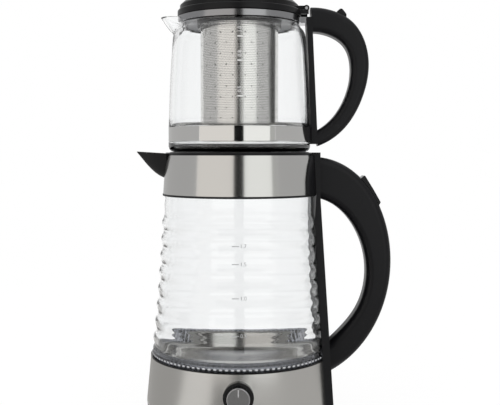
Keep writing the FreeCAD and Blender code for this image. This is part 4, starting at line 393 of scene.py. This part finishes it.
def clear(name, tint, gloss, ior, smear):
    """Clear glass or plastic; smear leaves the faint patches of a wiped surface."""
    material = bpy.data.materials.new(name)
    material.use_nodes = True
    tree = material.node_tree
    shader = tree.nodes["Principled BSDF"]
    shader.inputs["Transmission Weight"].default_value = 1.0
    shader.inputs["IOR"].default_value = ior
    place = tree.nodes.new("ShaderNodeTexCoord").outputs["Object"]
    patches = noise(tree, place, scale=22.0, detail=4.0)
    wiped = calculation(tree, "SUBTRACT", patches, 0.45)
    rough = calculation(tree, "MULTIPLY_ADD", wiped, smear, gloss)
    paler = tuple(min(1.0, value + 0.02) for value in tint)
    tree.links.new(rough, shader.inputs["Roughness"])
    tree.links.new(shade_between(tree, patches, tint, paler), shader.inputs["Base Color"])
    return material


trim_black = moulding("trim black", (0.002, 0.002, 0.0025), (0.006, 0.006, 0.007), gloss=0.28)
# Painted shade: the lamp strip is grey, for the dim inside behind the clear ring
strip_grey_shaded = moulding("lamp strip painted shade", (0.10, 0.10, 0.10), (0.18, 0.18, 0.17), gloss=0.5)
dress(trim_black, "trim_ring")
dress(strip_grey_shaded, "lamp_strip")

# Painted shade: the clear ring is tinted dark, for the dim inside seen through it
ring_clear_shaded = clear("light ring clear shaded", (0.27, 0.28, 0.31), gloss=0.05, ior=1.49, smear=0.02)
ring_points, ring_rows = light_ring_points()
ring_faces = turned_faces(ring_rows, LIGHT_COLUMNS)
ring_piece = solid_piece("light_ring_ribbed", ring_points, ring_faces, ring_clear_shaded, "kettle", sharp=60.0)
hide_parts("light_ring")

# Painted highlight: the beads are white so that each shows the glint of the lamps on a lower rib
bead_highlight_white = moulding(
    "bead painted highlight", (0.62, 0.63, 0.66), (0.80, 0.81, 0.84),
    gloss=0.2, grain_depth=0.00001, cloud=0.1, rub=0.0, shine=0.6,
)
lens_points, lens_faces = lens_mesh()
highlight_lenses = solid_piece("highlight_beads", lens_points, lens_faces, bead_highlight_white, "kettle", sharp=80.0)


# Dish and heater
# The kettle's floor is a deep-drawn, polished steel dish. Under it lie a cast aluminium
# spreader, the ring element and the sensor; silicone seals the glass above it.

dish_steel = metal(
    "dish steel", (0.40, 0.395, 0.38), (0.54, 0.535, 0.52),
    gloss=0.17, lines=700.0, around=0.5, depth=0.000002, dulling=0.08,
)
cast_aluminium = metal(
    "cast aluminium", (0.48, 0.48, 0.49), (0.66, 0.66, 0.67),
    gloss=0.5, lines=300.0, around=8.0, depth=0.00001, dulling=0.2,
)
element_steel = metal(
    "element steel", (0.22, 0.20, 0.18), (0.42, 0.40, 0.38), gloss=0.45, lines=500.0, around=3.0
)
seal_silicone = moulding(
    "silicone", (0.50, 0.50, 0.49), (0.66, 0.66, 0.65), gloss=0.55, grain_depth=0.00001, rub=0.0
)
dress(dish_steel, "heater_dish")
dress(cast_aluminium, "heat_spreader")
dress(element_steel, "heating_element")
dress(seal_silicone, "glass_gaskets")


# Board, sensor and switch
# A green glass-fibre board stands behind the knob with its relay, transformer, capacitor and
# chip. The rotary switch sits on it, and the sensor under the dish is a grey ceramic.

board_green = moulding(
    "board green", (0.012, 0.09, 0.035), (0.025, 0.17, 0.07),
    gloss=0.35, grain_depth=0.00001, cloud=0.2, rub=0.0, grain_size=900.0,
)
part_grey = moulding("component grey", (0.05, 0.05, 0.055), (0.12, 0.12, 0.13), gloss=0.45)
dress(board_green, "control_board")
dress(part_grey, "board_components", "selector_switch", "thermal_sensor")


# Knob
# A turned metal cap on a steel spindle, brushed across its face, in a black bezel that is clipped
# into the shell. Pale grey paint fills the pointer's groove in the cap.

KNOB_Z = next(joint["pos_m"][2] for joint in frame["joints"] if joint["name"] == "knob_turn")
KNOB_FACE_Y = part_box("knob")[0].y
POINTER_HALF_WIDTH = 0.00042
POINTER_LOW = 0.0021
POINTER_HIGH = 0.0084
POINTER_FRONT = 0.00015
POINTER_BACK = 0.00038

knob_metal = metal(
    "knob metal", (0.30, 0.30, 0.305), (0.48, 0.48, 0.485), gloss=0.28, around=4.0, dulling=0.12
)
bezel_black = moulding(
    "bezel black", (0.002, 0.002, 0.0025), (0.007, 0.007, 0.008),
    gloss=0.22, grain_depth=0.00001, shine=0.5,
)
pointer_paint = moulding(
    "pointer paint", (0.55, 0.55, 0.55), (0.70, 0.70, 0.70),
    gloss=0.4, grain_depth=0.00001, cloud=0.05, rub=0.0,
)
dress(knob_metal, "knob")
dress(screw_zinc, "knob_spindle")
dress(bezel_black, "knob_bezel")
pointer_points = [
    (x, KNOB_FACE_Y + depth, KNOB_Z + up)
    for x in (-POINTER_HALF_WIDTH, POINTER_HALF_WIDTH)
    for depth in (POINTER_FRONT, POINTER_BACK)
    for up in (POINTER_LOW, POINTER_HIGH)
]
pointer_faces = [(0, 1, 3, 2), (4, 6, 7, 5), (0, 4, 5, 1), (2, 3, 7, 6), (0, 2, 6, 4), (1, 5, 7, 3)]
pointer = solid_piece("knob_pointer", pointer_points, pointer_faces, pointer_paint, "knob")


# Rippled glass
# The kettle's body is clear glass blown in a mould with eight soft ripples. It stands in a seal
# on the dish's flange and its straight neck goes up inside the collar.

GLASS_WALL = 0.0025
GLASS_FOOT_RADIUS = 0.0748
GLASS_FOOT_LOW = 0.0650
GLASS_FOOT_HIGH = 0.0680
RIPPLE_COUNT = 8
RIPPLE_FIRST = 0.0787
RIPPLE_PITCH = 0.0146
RIPPLE_DEPTH = 0.0020
RIPPLE_RADIUS = 0.0773
RIPPLE_TAPER = 0.1076
RIPPLE_FLARE = 0.266
RIPPLE_STEPS = 120
NECK_OUTLINE = [
    (0.0666, 0.1920), (0.0668, 0.1960), (0.0664, 0.2000), (0.0656, 0.2150), (0.0652, 0.2258),
]
NECK_EDGE = [(0.0645, 0.2262), (0.0634, 0.2262)]
GLASS_SIDES = 256


def rippled_radius(z):
    """Outer radius of the body from the foot to the neck."""
    rise = z - RIPPLE_FIRST
    crest = RIPPLE_RADIUS - RIPPLE_TAPER * rise + RIPPLE_FLARE * rise * rise
    trough = RIPPLE_DEPTH / 2 * (1 - math.cos(2 * math.pi * rise / RIPPLE_PITCH))
    return crest - trough


def glass_outline():
    """(radius, height) of the whole wall, up the outside and down the inside."""
    start = RIPPLE_FIRST - RIPPLE_PITCH / 2
    length = RIPPLE_COUNT * RIPPLE_PITCH
    outer = [(GLASS_FOOT_RADIUS, GLASS_FOOT_LOW), (GLASS_FOOT_RADIUS, GLASS_FOOT_HIGH)]
    for step in range(RIPPLE_STEPS + 1):
        z = start + length * step / RIPPLE_STEPS
        outer.append((rippled_radius(z), z))
    outer += NECK_OUTLINE
    inner = [(radius - GLASS_WALL, z) for radius, z in reversed(outer)]
    return outer + NECK_EDGE + inner


def turned_points(outline, sides):
    """Points of a closed (radius, height) outline turned about Z, row by row."""
    points = []
    for radius, z in outline:
        for side in range(sides):
            turn = 2 * math.pi * side / sides
            points.append((radius * math.cos(turn), radius * math.sin(turn), z))
    return points


body_glass = clear("body glass", (0.955, 0.962, 0.965), gloss=0.0, ior=1.42, smear=0.004)
outline = glass_outline()
glass_points = turned_points(outline, GLASS_SIDES)
glass_faces = turned_faces(len(outline), GLASS_SIDES)
glass_piece = solid_piece("rippled_glass", glass_points, glass_faces, body_glass, "kettle", sharp=50.0)
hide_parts("glass_body")


# Level scale of the kettle
# Pale grey ticks and numbers, screen-printed on the front of the glass and fired on. The print
# stands a few hundredths of a millimetre off the glass.

PRINT_THICKNESS = 0.00006
FRONT = -math.pi / 2
KETTLE_LEVELS = {"1.7": 0.1658, "1.5": 0.1511, "1.0": 0.1233, "0.5": 0.0930}
KETTLE_WORDS_HEIGHT = 0.0046
KETTLE_WORDS_TURN = 0.055
KETTLE_TICK_LENGTH = 0.0060
KETTLE_TICK_THICK = 0.0007
KETTLE_TICK_TURN = -0.035


def printed_words(name, words, height, radius_at, centre_z, turn, ink, body, lean=0.0):
    """Print on the outside of a round wall. turn is the angle from the front, lean turns the words."""
    text = bpy.data.curves.new(name + "_text", "FONT")
    text.body = words
    text.size = height
    text.align_x = "CENTER"
    text.align_y = "CENTER"
    text.resolution_u = 3
    writing = bpy.data.objects.new(name + "_text", text)
    bpy.context.scene.collection.objects.link(writing)
    bpy.context.view_layer.update()
    mesh = bpy.data.meshes.new_from_object(writing)
    bpy.data.objects.remove(writing)
    for vertex in mesh.vertices:
        across = vertex.co.x * math.cos(lean) - vertex.co.y * math.sin(lean)
        up = vertex.co.x * math.sin(lean) + vertex.co.y * math.cos(lean)
        z = centre_z + up
        radius = radius_at(z) + PRINT_THICKNESS
        angle = FRONT + turn + across / radius
        vertex.co = (radius * math.cos(angle), radius * math.sin(angle), z)
    mesh.materials.append(ink)
    piece = bpy.data.objects.new(name, mesh)
    bpy.context.scene.collection.objects.link(piece)
    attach(piece, body)


def printed_tick(name, width, thick, radius_at, z, turn, ink, body):
    """A short printed line that follows a round wall."""
    points = []
    steps = 8
    for index in range(steps + 1):
        for level in (z - thick / 2, z + thick / 2):
            radius = radius_at(level) + PRINT_THICKNESS
            angle = FRONT + turn + (index / steps - 0.5) * width / radius
            points.append((radius * math.cos(angle), radius * math.sin(angle), level))
    faces = [(2 * i, 2 * i + 2, 2 * i + 3, 2 * i + 1) for i in range(steps)]
    piece = solid_piece(name, points, faces, ink, body)


kettle_ink = moulding(
    "kettle scale ink", (0.42, 0.43, 0.44), (0.52, 0.53, 0.54),
    gloss=0.5, grain_depth=0.00001, cloud=0.1, rub=0.0,
)
for litres, level in KETTLE_LEVELS.items():
    label = litres.replace(".", "_")
    printed_words(
        "kettle_level_" + label, litres, KETTLE_WORDS_HEIGHT, rippled_radius, level,
        KETTLE_WORDS_TURN, kettle_ink, "kettle",
    )
    printed_tick(
        "kettle_tick_" + label, KETTLE_TICK_LENGTH, KETTLE_TICK_THICK, rippled_radius, level,
        KETTLE_TICK_TURN, kettle_ink, "kettle",
    )


# Steel collar
# A brushed steel band clamps the glass neck. Its lower edge sits on a black rubber bead, and the
# band is windowed behind the spout.

collar_steel = metal(
    "collar steel", (0.52, 0.515, 0.50), (0.64, 0.635, 0.62),
    gloss=0.12, lines=1600.0, around=0.5, dulling=0.08, along=0.8,
)
bead_rubber = moulding(
    "bead rubber", (0.008, 0.008, 0.009), (0.018, 0.018, 0.019),
    gloss=0.45, grain_depth=0.00002, cloud=0.05, rub=0.0,
)
dress(collar_steel, "collar_band")
dress(bead_rubber, "collar_gasket")


# Rim and spout
# The black top moulding carries the lid's seat, the strainer slots and the tab over the handle.
# The beak of the spout is a separate moulding that is clipped over the collar.

rim_black = moulding("rim black", (0.003, 0.003, 0.0035), (0.009, 0.009, 0.010), gloss=0.3)
spout_black = moulding("spout black", (0.002, 0.002, 0.0025), (0.007, 0.007, 0.008), gloss=0.34)
dress(rim_black, "top_rim")
dress(spout_black, "spout")


# Kettle handle
# A flared saddle and a long strap hug the kettle. The hollow loop is two satin mouldings, with
# the wedge of the lid button on a pin near its top, its spring, and the release rod.

handle_black = moulding(
    "handle black", (0.003, 0.003, 0.0038), (0.010, 0.010, 0.012),
    gloss=0.36, grain_depth=0.00002, cloud=0.06, rub=0.06, grain_size=3000.0,
)
button_black = moulding(
    "button black", (0.002, 0.002, 0.0025), (0.008, 0.008, 0.009), gloss=0.3, grain_depth=0.00002
)
dress(handle_black, "handle_saddle", "handle_strap", "handle_grip", "handle_cover")
dress(button_black, "lid_button")
dress(screw_zinc, "handle_screws", "button_pin", "button_spring")
dress(part_grey, "release_rod")


# Kettle lid
# A flat black disc with a finger well under a grip bar; the teapot stands on it. A steel plate
# with vents closes its underside and a silicone ring seals it.

dress(rim_black, "kettle_lid")
dress(dish_steel, "kettle_lid_plate")
dress(seal_silicone, "lid_gasket")


# Teapot glass
# Clear blown glass with a thick flat foot, a shallow groove for the steel band, a drawn-in neck,
# and a lip pulled out of the rim on the spout side. Heights are above the foot.

POT_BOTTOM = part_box("teapot_glass")[0].z
POT_WALL = 0.0022
POT_FOOT = [
    (0.0000, 0.0000), (0.0500, 0.0000), (0.0584, 0.0000), (0.0606, 0.0007), (0.0622, 0.0023),
    (0.0629, 0.0045), (0.0629, 0.0086), (0.0623, 0.0089), (0.0623, 0.0217), (0.0628, 0.0220),
]
POT_SIDE = [
    (0.0624, 0.0320), (0.0619, 0.0470), (0.0613, 0.0620), (0.0605, 0.0750), (0.0597, 0.0870),
    (0.0589, 0.0970),
]
POT_NECK = [
    (0.0586, 0.1000), (0.0582, 0.1025), (0.0575, 0.1045), (0.0565, 0.1062), (0.0553, 0.1076),
    (0.0542, 0.1090), (0.0533, 0.1105), (0.0530, 0.1120), (0.0530, 0.1145), (0.0530, 0.1172),
    (0.0528, 0.1178), (0.0523, 0.1180),
]
POT_NECK_INSIDE = [
    (0.0514, 0.1180), (0.0510, 0.1178), (0.0508, 0.1172), (0.0508, 0.1145), (0.0508, 0.1115),
    (0.0511, 0.1097), (0.0520, 0.1081), (0.0533, 0.1065), (0.0545, 0.1049), (0.0554, 0.1030),
    (0.0560, 0.1010), (0.0563, 0.0990),
]
POT_FLOOR_INSIDE = [
    (0.0605, 0.0220), (0.0601, 0.0205), (0.0601, 0.0090), (0.0600, 0.0070), (0.0592, 0.0050),
    (0.0578, 0.0040), (0.0556, 0.0036), (0.0500, 0.0036), (0.0000, 0.0036),
]
POT_OUTSIDE = POT_FOOT + POT_SIDE + POT_NECK
POT_SIDE_INSIDE = [(radius - POT_WALL, rise) for radius, rise in reversed(POT_SIDE)]
POT_INSIDE = POT_NECK_INSIDE + POT_SIDE_INSIDE + POT_FLOOR_INSIDE

# The lip is a cone that leans out: its height, middle and radius where it starts and at the rim
LIP_START_RISE = 0.1045
LIP_START_MIDDLE = 0.0544
LIP_START_RADIUS = 0.0045
LIP_RIM_RISE = 0.1175
LIP_RIM_MIDDLE = 0.0579
LIP_RIM_RADIUS = 0.0110
LIP_HALF_TURN = 1.0
LIP_FILLET = 0.0014
LIP_BULGE = 0.8
LIP_MOST = 1.1
LIP_INSIDE_LIFT = 0.4
LIP_FIRST_DEGREE = 165.0
LIP_LAST_DEGREE = 195.0
LIP_STEP_DEGREES = 0.6
WALL_STEP_DEGREES = 1.5


def lip_reach(rise, turn_from_lip, inset):
    """How far the pulled lip carries the wall at a height and an angle from the lip's middle."""
    start = LIP_START_RISE + LIP_INSIDE_LIFT * inset
    share = (rise - start) / (LIP_RIM_RISE - LIP_START_RISE)
    if share < 0:
        return 0.0
    share = min(share, LIP_MOST) ** LIP_BULGE
    middle = LIP_START_MIDDLE + share * (LIP_RIM_MIDDLE - LIP_START_MIDDLE)
    radius = LIP_START_RADIUS + share * (LIP_RIM_RADIUS - LIP_START_RADIUS) - inset
    sideways = middle * math.sin(turn_from_lip)
    if abs(turn_from_lip) > LIP_HALF_TURN or abs(sideways) >= radius:
        return 0.0
    return middle * math.cos(turn_from_lip) + math.sqrt(radius * radius - sideways * sideways)


def pot_turns():
    """Angles round the teapot, closer together at the lip."""
    turns = []
    degrees = 0.0
    while degrees < 360.0 - LIP_STEP_DEGREES / 2:
        turns.append(math.radians(degrees))
        at_lip = LIP_FIRST_DEGREE <= degrees < LIP_LAST_DEGREE
        degrees += LIP_STEP_DEGREES if at_lip else WALL_STEP_DEGREES
    return turns


def teapot_points(turns):
    """Points of the wall, row by row, with the lip blended into it by a small fillet."""
    rows = [(radius, rise, 0.0) for radius, rise in POT_OUTSIDE]
    rows += [(radius, rise, POT_WALL) for radius, rise in POT_INSIDE]
    points = []
    for radius, rise, inset in rows:
        for turn in turns:
            reach = lip_reach(rise, turn - math.pi, inset)
            blend = max(radius, reach)
            if reach > 0:
                gap = abs(reach - radius)
                blend += max(0.0, LIP_FILLET - gap) ** 2 / (4 * LIP_FILLET)
            points.append((blend * math.cos(turn), blend * math.sin(turn), POT_BOTTOM + rise))
    return points


pot_glass = clear("teapot glass", (0.972, 0.978, 0.980), gloss=0.0, ior=1.47, smear=0.003)
turns = pot_turns()
pot_points = teapot_points(turns)
pot_faces = turned_faces(len(POT_OUTSIDE) + len(POT_INSIDE), len(turns))
pot_piece = solid_piece("teapot_glass_lipped", pot_points, pot_faces, pot_glass, "teapot", sharp=50.0)
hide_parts("teapot_glass")


# Level scale of the teapot
# White ticks with numbers that read upward, printed in line with the middle of the teapot.
# Heights are above the foot.

POT_LEVELS = {"1.0": 0.0946, "0.8": 0.0748, "0.5": 0.0457}
POT_WORDS_HEIGHT = 0.0042
POT_WORDS_ABOVE_TICK = 0.0056
POT_WORDS_TURN = 0.015
POT_TICK_LENGTH = 0.0042
POT_TICK_THICK = 0.0010
POT_TICK_TURN = 0.02


def pot_side_radius(z):
    """Outer radius of the teapot at a height above the table."""
    rise = z - POT_BOTTOM
    for (low_radius, low), (high_radius, high) in zip(POT_OUTSIDE, POT_OUTSIDE[1:]):
        if low <= rise <= high and high > low:
            return low_radius + (high_radius - low_radius) * (rise - low) / (high - low)
    return POT_OUTSIDE[-1][0]


pot_ink = moulding(
    "teapot scale ink", (0.80, 0.80, 0.80), (0.92, 0.92, 0.92),
    gloss=0.5, grain_depth=0.00001, cloud=0.05, rub=0.0,
)
for litres, rise in POT_LEVELS.items():
    label = litres.replace(".", "_")
    level = POT_BOTTOM + rise
    printed_tick(
        "teapot_tick_" + label, POT_TICK_LENGTH, POT_TICK_THICK, pot_side_radius, level,
        POT_TICK_TURN, pot_ink, "teapot",
    )
    printed_words(
        "teapot_level_" + label, litres, POT_WORDS_HEIGHT, pot_side_radius,
        level + POT_WORDS_ABOVE_TICK, POT_WORDS_TURN, pot_ink, "teapot", lean=math.pi / 2,
    )


# Teapot band and handle
# A polished steel band is drawn tight by the black shoe under the handle. A ring round the neck
# holds the strap at the top; the handle is two mouldings with a spring button on its crown.

band_steel = metal(
    "band steel", (0.60, 0.595, 0.58), (0.70, 0.695, 0.68),
    gloss=0.07, lines=1800.0, around=0.4, depth=0.000002, dulling=0.05, along=0.6,
)
# Painted shade: the neck ring is the band's steel with a darker colour
neck_steel_shaded = metal(
    "neck steel painted shade", (0.26, 0.26, 0.27), (0.36, 0.36, 0.37),
    gloss=0.14, lines=1800.0, around=0.4, depth=0.000002, dulling=0.05, along=0.6,
)
dress(band_steel, "teapot_band")
dress(neck_steel_shaded, "neck_ring")
dress(handle_black, "teapot_strap", "band_clamp", "teapot_handle_grip", "teapot_handle_cover")
dress(button_black, "teapot_button")


# Infuser
# A black collar drops into the teapot's neck and carries a pale plate and a black socket. The
# socket holds the basket, a tube of fine perforated steel with a perforated floor.

plate_grey = moulding(
    "plate grey", (0.42, 0.43, 0.46), (0.52, 0.53, 0.56),
    gloss=0.45, grain_depth=0.00001, cloud=0.05, rub=0.0,
)
dress(rim_black, "infuser_collar", "socket_ring")
dress(seal_silicone, "infuser_gasket")
dress(plate_grey, "infuser_plate")

# Rows of fine round holes, wrapped round Z: 1 in a hole and 0 on the sheet between
perforation, given, result = effect_group(
    "perforation", {"Round": 150.0, "Rise": 690.0, "Hole": 0.27}, ["Mask"]
)
place = perforation.nodes.new("ShaderNodeTexCoord").outputs["Object"]
angle, level = round_the_axis(perforation, place)
turn = calculation(perforation, "DIVIDE", angle, 2 * math.pi)
turn = calculation(perforation, "MULTIPLY", turn, given.outputs["Round"])
rise = calculation(perforation, "MULTIPLY", level, given.outputs["Rise"])
stagger = calculation(perforation, "FLOOR", rise)
stagger = calculation(perforation, "MULTIPLY", stagger, 0.5)
beside = calculation(perforation, "ADD", turn, stagger)
beside = calculation(perforation, "FRACT", beside)
beside = calculation(perforation, "SUBTRACT", beside, 0.5)
above = calculation(perforation, "FRACT", rise)
above = calculation(perforation, "SUBTRACT", above, 0.5)
beside_squared = calculation(perforation, "MULTIPLY", beside, beside)
above_squared = calculation(perforation, "MULTIPLY", above, above)
off_centre = calculation(perforation, "ADD", beside_squared, above_squared)
off_centre = calculation(perforation, "SQRT", off_centre)
mask = calculation(perforation, "LESS_THAN", off_centre, given.outputs["Hole"])
perforation.links.new(mask, result.inputs["Mask"])

# Painted shade: the holes are darker steel, for the dim inside of the basket seen through them
HOLE_SHADE_COLOUR = (0.30, 0.295, 0.285, 1.0)
basket_steel = metal(
    "basket steel", (0.68, 0.67, 0.65), (0.82, 0.81, 0.79),
    gloss=0.18, lines=1200.0, around=0.6, depth=0.000003, along=0.6,
)
tree = basket_steel.node_tree
shader = tree.nodes["Principled BSDF"]
sheet_colour = shader.inputs["Base Color"].links[0].from_socket
holes = place_effect(tree, perforation, {})
punched_shade = tree.nodes.new("ShaderNodeMix")
punched_shade.data_type = "RGBA"
punched_shade.inputs["B"].default_value = HOLE_SHADE_COLOUR
tree.links.new(holes.outputs["Mask"], punched_shade.inputs["Factor"])
tree.links.new(sheet_colour, punched_shade.inputs["A"])
tree.links.new(punched_shade.outputs["Result"], shader.inputs["Base Color"])
dress(basket_steel, "infuser_basket")


# Teapot lid
# A low black dome, hinged on a steel pin over the handle and closed below by a pale liner. Its top
# is above the crop of the photograph.

dress(rim_black, "teapot_lid")
dress(plate_grey, "lid_liner")
dress(screw_zinc, "hinge_pin")


# Studio
# A pale floor under a white surround, two tall softboxes beside the camera with a dark gap
# between them, and grey flats at both sides that draw the edges of glass and steel.

FLOOR_LEFT, FLOOR_RIGHT, FLOOR_NEAR, FLOOR_FAR = -4.0, 4.0, -3.0, 6.0
FLOOR_GLOW = 1.12
FLOOR_GLOW_SHARE = 0.8
LIGHT_OF_SURROUND = 0.55
FLAT_BOTTOM = -0.1
FLAT_TOP = 1.4
FLAT_LEVEL = 0.57
GAP_LEVEL = 0.01
CARD_NEAR = 0.13
CARD_FAR = 0.93
CARD_HEIGHT = 0.001
CARD_STEPS = 12
SOFTBOX_TOP = 1.2


def seen_directly(tree):
    """1 for rays from the camera, from gloss and through glass, and 0 for the light of the scene."""
    rays = tree.nodes.new("ShaderNodeLightPath")
    seen = calculation(tree, "MAXIMUM", rays.outputs["Is Camera Ray"], rays.outputs["Is Glossy Ray"])
    return calculation(tree, "MAXIMUM", seen, rays.outputs["Is Transmission Ray"])


def stage_board(name, corners, faces, material):
    """A flat board of the studio."""
    mesh = bpy.data.meshes.new(name)
    mesh.from_pydata(corners, [], faces)
    mesh.materials.append(material)
    board = bpy.data.objects.new(name, mesh)
    bpy.context.scene.collection.objects.link(board)
    return board


def only_in_reflections(board):
    """Keep a board out of the camera's view, and let it neither light nor shade anything."""
    board.visible_camera = False
    board.visible_diffuse = False
    board.visible_shadow = False


floor_paint = bpy.data.materials.new("floor")
floor_paint.use_nodes = True
tree = floor_paint.node_tree
matt = tree.nodes["Principled BSDF"]
matt.inputs["Base Color"].default_value = (0.88, 0.88, 0.88, 1.0)
matt.inputs["Roughness"].default_value = 0.9
glow = tree.nodes.new("ShaderNodeEmission")
glow.inputs["Strength"].default_value = FLOOR_GLOW
mixer = tree.nodes.new("ShaderNodeMixShader")
glow_share = calculation(tree, "MULTIPLY", seen_directly(tree), FLOOR_GLOW_SHARE)
tree.links.new(glow_share, mixer.inputs[0])
tree.links.new(matt.outputs[0], mixer.inputs[1])
tree.links.new(glow.outputs[0], mixer.inputs[2])
tree.links.new(mixer.outputs[0], tree.nodes["Material Output"].inputs["Surface"])
floor_corners = [
    (FLOOR_LEFT, FLOOR_NEAR, 0), (FLOOR_RIGHT, FLOOR_NEAR, 0),
    (FLOOR_RIGHT, FLOOR_FAR, 0), (FLOOR_LEFT, FLOOR_FAR, 0),
]
stage_board("floor", floor_corners, [(0, 1, 2, 3)], floor_paint)

surround = bpy.data.worlds.new("surround")
bpy.context.scene.world = surround
surround.use_nodes = True
tree = surround.node_tree
sky = tree.nodes["Background"]
sky.inputs["Color"].default_value = (1.0, 1.0, 1.0, 1.0)
brightness = calculation(
    tree, "MULTIPLY_ADD", seen_directly(tree), 1.0 - LIGHT_OF_SURROUND, LIGHT_OF_SURROUND
)
tree.links.new(brightness, sky.inputs["Strength"])


def board_paint(name, colour, strength):
    """Paint of a board that shines evenly, so that metal and glass show it at one level."""
    material = bpy.data.materials.new(name)
    material.use_nodes = True
    tree = material.node_tree
    shine = tree.nodes.new("ShaderNodeEmission")
    shine.inputs["Color"].default_value = (*colour, 1.0)
    shine.inputs["Strength"].default_value = strength
    tree.links.new(shine.outputs[0], tree.nodes["Material Output"].inputs["Surface"])
    return material


def side_flat(name, start, end, paint):
    """An upright board between two points of the floor."""
    corners = [(*start, FLAT_BOTTOM), (*end, FLAT_BOTTOM), (*end, FLAT_TOP), (*start, FLAT_TOP)]
    flat = stage_board(name, corners, [(0, 1, 2, 3)], paint)
    only_in_reflections(flat)
    return flat


flat_grey = board_paint("flat grey", (1.0, 1.0, 1.0), FLAT_LEVEL)
for hand, side, near_edge in (("left", -1, (-0.88, -0.44)), ("right", 1, (0.79, -0.50))):
    near_corner = (side * 1.05, 0.20)
    far_corner = (side * 1.00, 0.90)
    far_edge = (side * 0.55, 1.90)
    side_flat("side_flat_" + hand + "_near", near_edge, near_corner, flat_grey)
    side_flat("side_flat_" + hand + "_middle", near_corner, far_corner, flat_grey)
    far_flat = side_flat("side_flat_" + hand + "_far", far_corner, far_edge, flat_grey)
    far_flat.visible_transmission = False

gap_black = board_paint("gap black", (1.0, 1.0, 1.0), GAP_LEVEL)
left_backing = board_paint("left backing", (1.0, 0.97, 0.93), 0.44)
right_backing = board_paint("right backing", (0.99, 1.0, 0.98), 0.58)
side_flat("gap_flat", (-0.14, -1.0), (0.14, -1.0), gap_black)
side_flat("left_backing", (-0.128, -0.97), (-0.87, -0.44), left_backing)
side_flat("right_backing", (0.128, -0.97), (0.775, -0.50), right_backing)


def table_card(name, first, last, paint):
    """A card laid on the table in front of the object, between two angles from the camera's line."""
    points = []
    for reach in (CARD_NEAR, CARD_FAR):
        for step in range(CARD_STEPS + 1):
            turn = math.radians(first + (last - first) * step / CARD_STEPS - 90.0)
            points.append((reach * math.cos(turn), reach * math.sin(turn), CARD_HEIGHT))
    outer = CARD_STEPS + 1
    faces = [(i, i + 1, i + 1 + outer, i + outer) for i in range(CARD_STEPS)]
    only_in_reflections(stage_board(name, points, faces, paint))


for label, first, last, level in (
    ("outer_left", -150.0, -68.0, 0.50),
    ("left", -68.0, -30.0, 0.95),
    ("middle", -30.0, 13.0, 0.30),
    ("right", 13.0, 105.0, 0.62),
    ("outer_right", 105.0, 150.0, 0.50),
):
    paint = board_paint("card " + label, (1.0, 0.985, 0.96), level)
    table_card("table_card_" + label, first, last, paint)


def softbox(name, start, end, power, colour):
    """An upright lamp between two points of the floor, turned to the object."""
    lamp = bpy.data.lights.new(name, "AREA")
    lamp.shape = "RECTANGLE"
    lamp.size = math.hypot(end[0] - start[0], end[1] - start[1])
    lamp.size_y = SOFTBOX_TOP
    lamp.energy = power
    lamp.color = colour
    source = bpy.data.objects.new(name, lamp)
    centre = Vector(((start[0] + end[0]) / 2, (start[1] + end[1]) / 2, SOFTBOX_TOP / 2))
    source.location = centre
    facing = Vector((-centre.x, -centre.y, 0))
    source.rotation_mode = "QUATERNION"
    source.rotation_quaternion = facing.to_track_quat("-Z", "Y")
    source.visible_camera = False
    bpy.context.scene.collection.objects.link(source)


softbox("softbox_left", (-0.125, -0.95), (-0.85, -0.42), 1.9, (1.0, 0.965, 0.93))
softbox("softbox_right", (0.125, -0.95), (0.76, -0.486), 1.93, (0.99, 1.0, 0.985))


# Camera
# It stands where the curves of the photographed rings put it, level with the kettle's rim, and
# looks slightly down.

CAMERA_PLACE = (0.0094, -0.775, 0.242)
CAMERA_DOWN = 3.26
view = bpy.data.cameras.new("camera")
view.lens = 62.5
view.sensor_width = 36.0
camera = bpy.data.objects.new("camera", view)
camera.location = CAMERA_PLACE
camera.rotation_euler = (math.radians(90.0 - CAMERA_DOWN), 0.0, 0.0)
bpy.context.scene.collection.objects.link(camera)
bpy.context.scene.camera = camera
bpy.context.scene.view_settings.view_transform = "Standard"
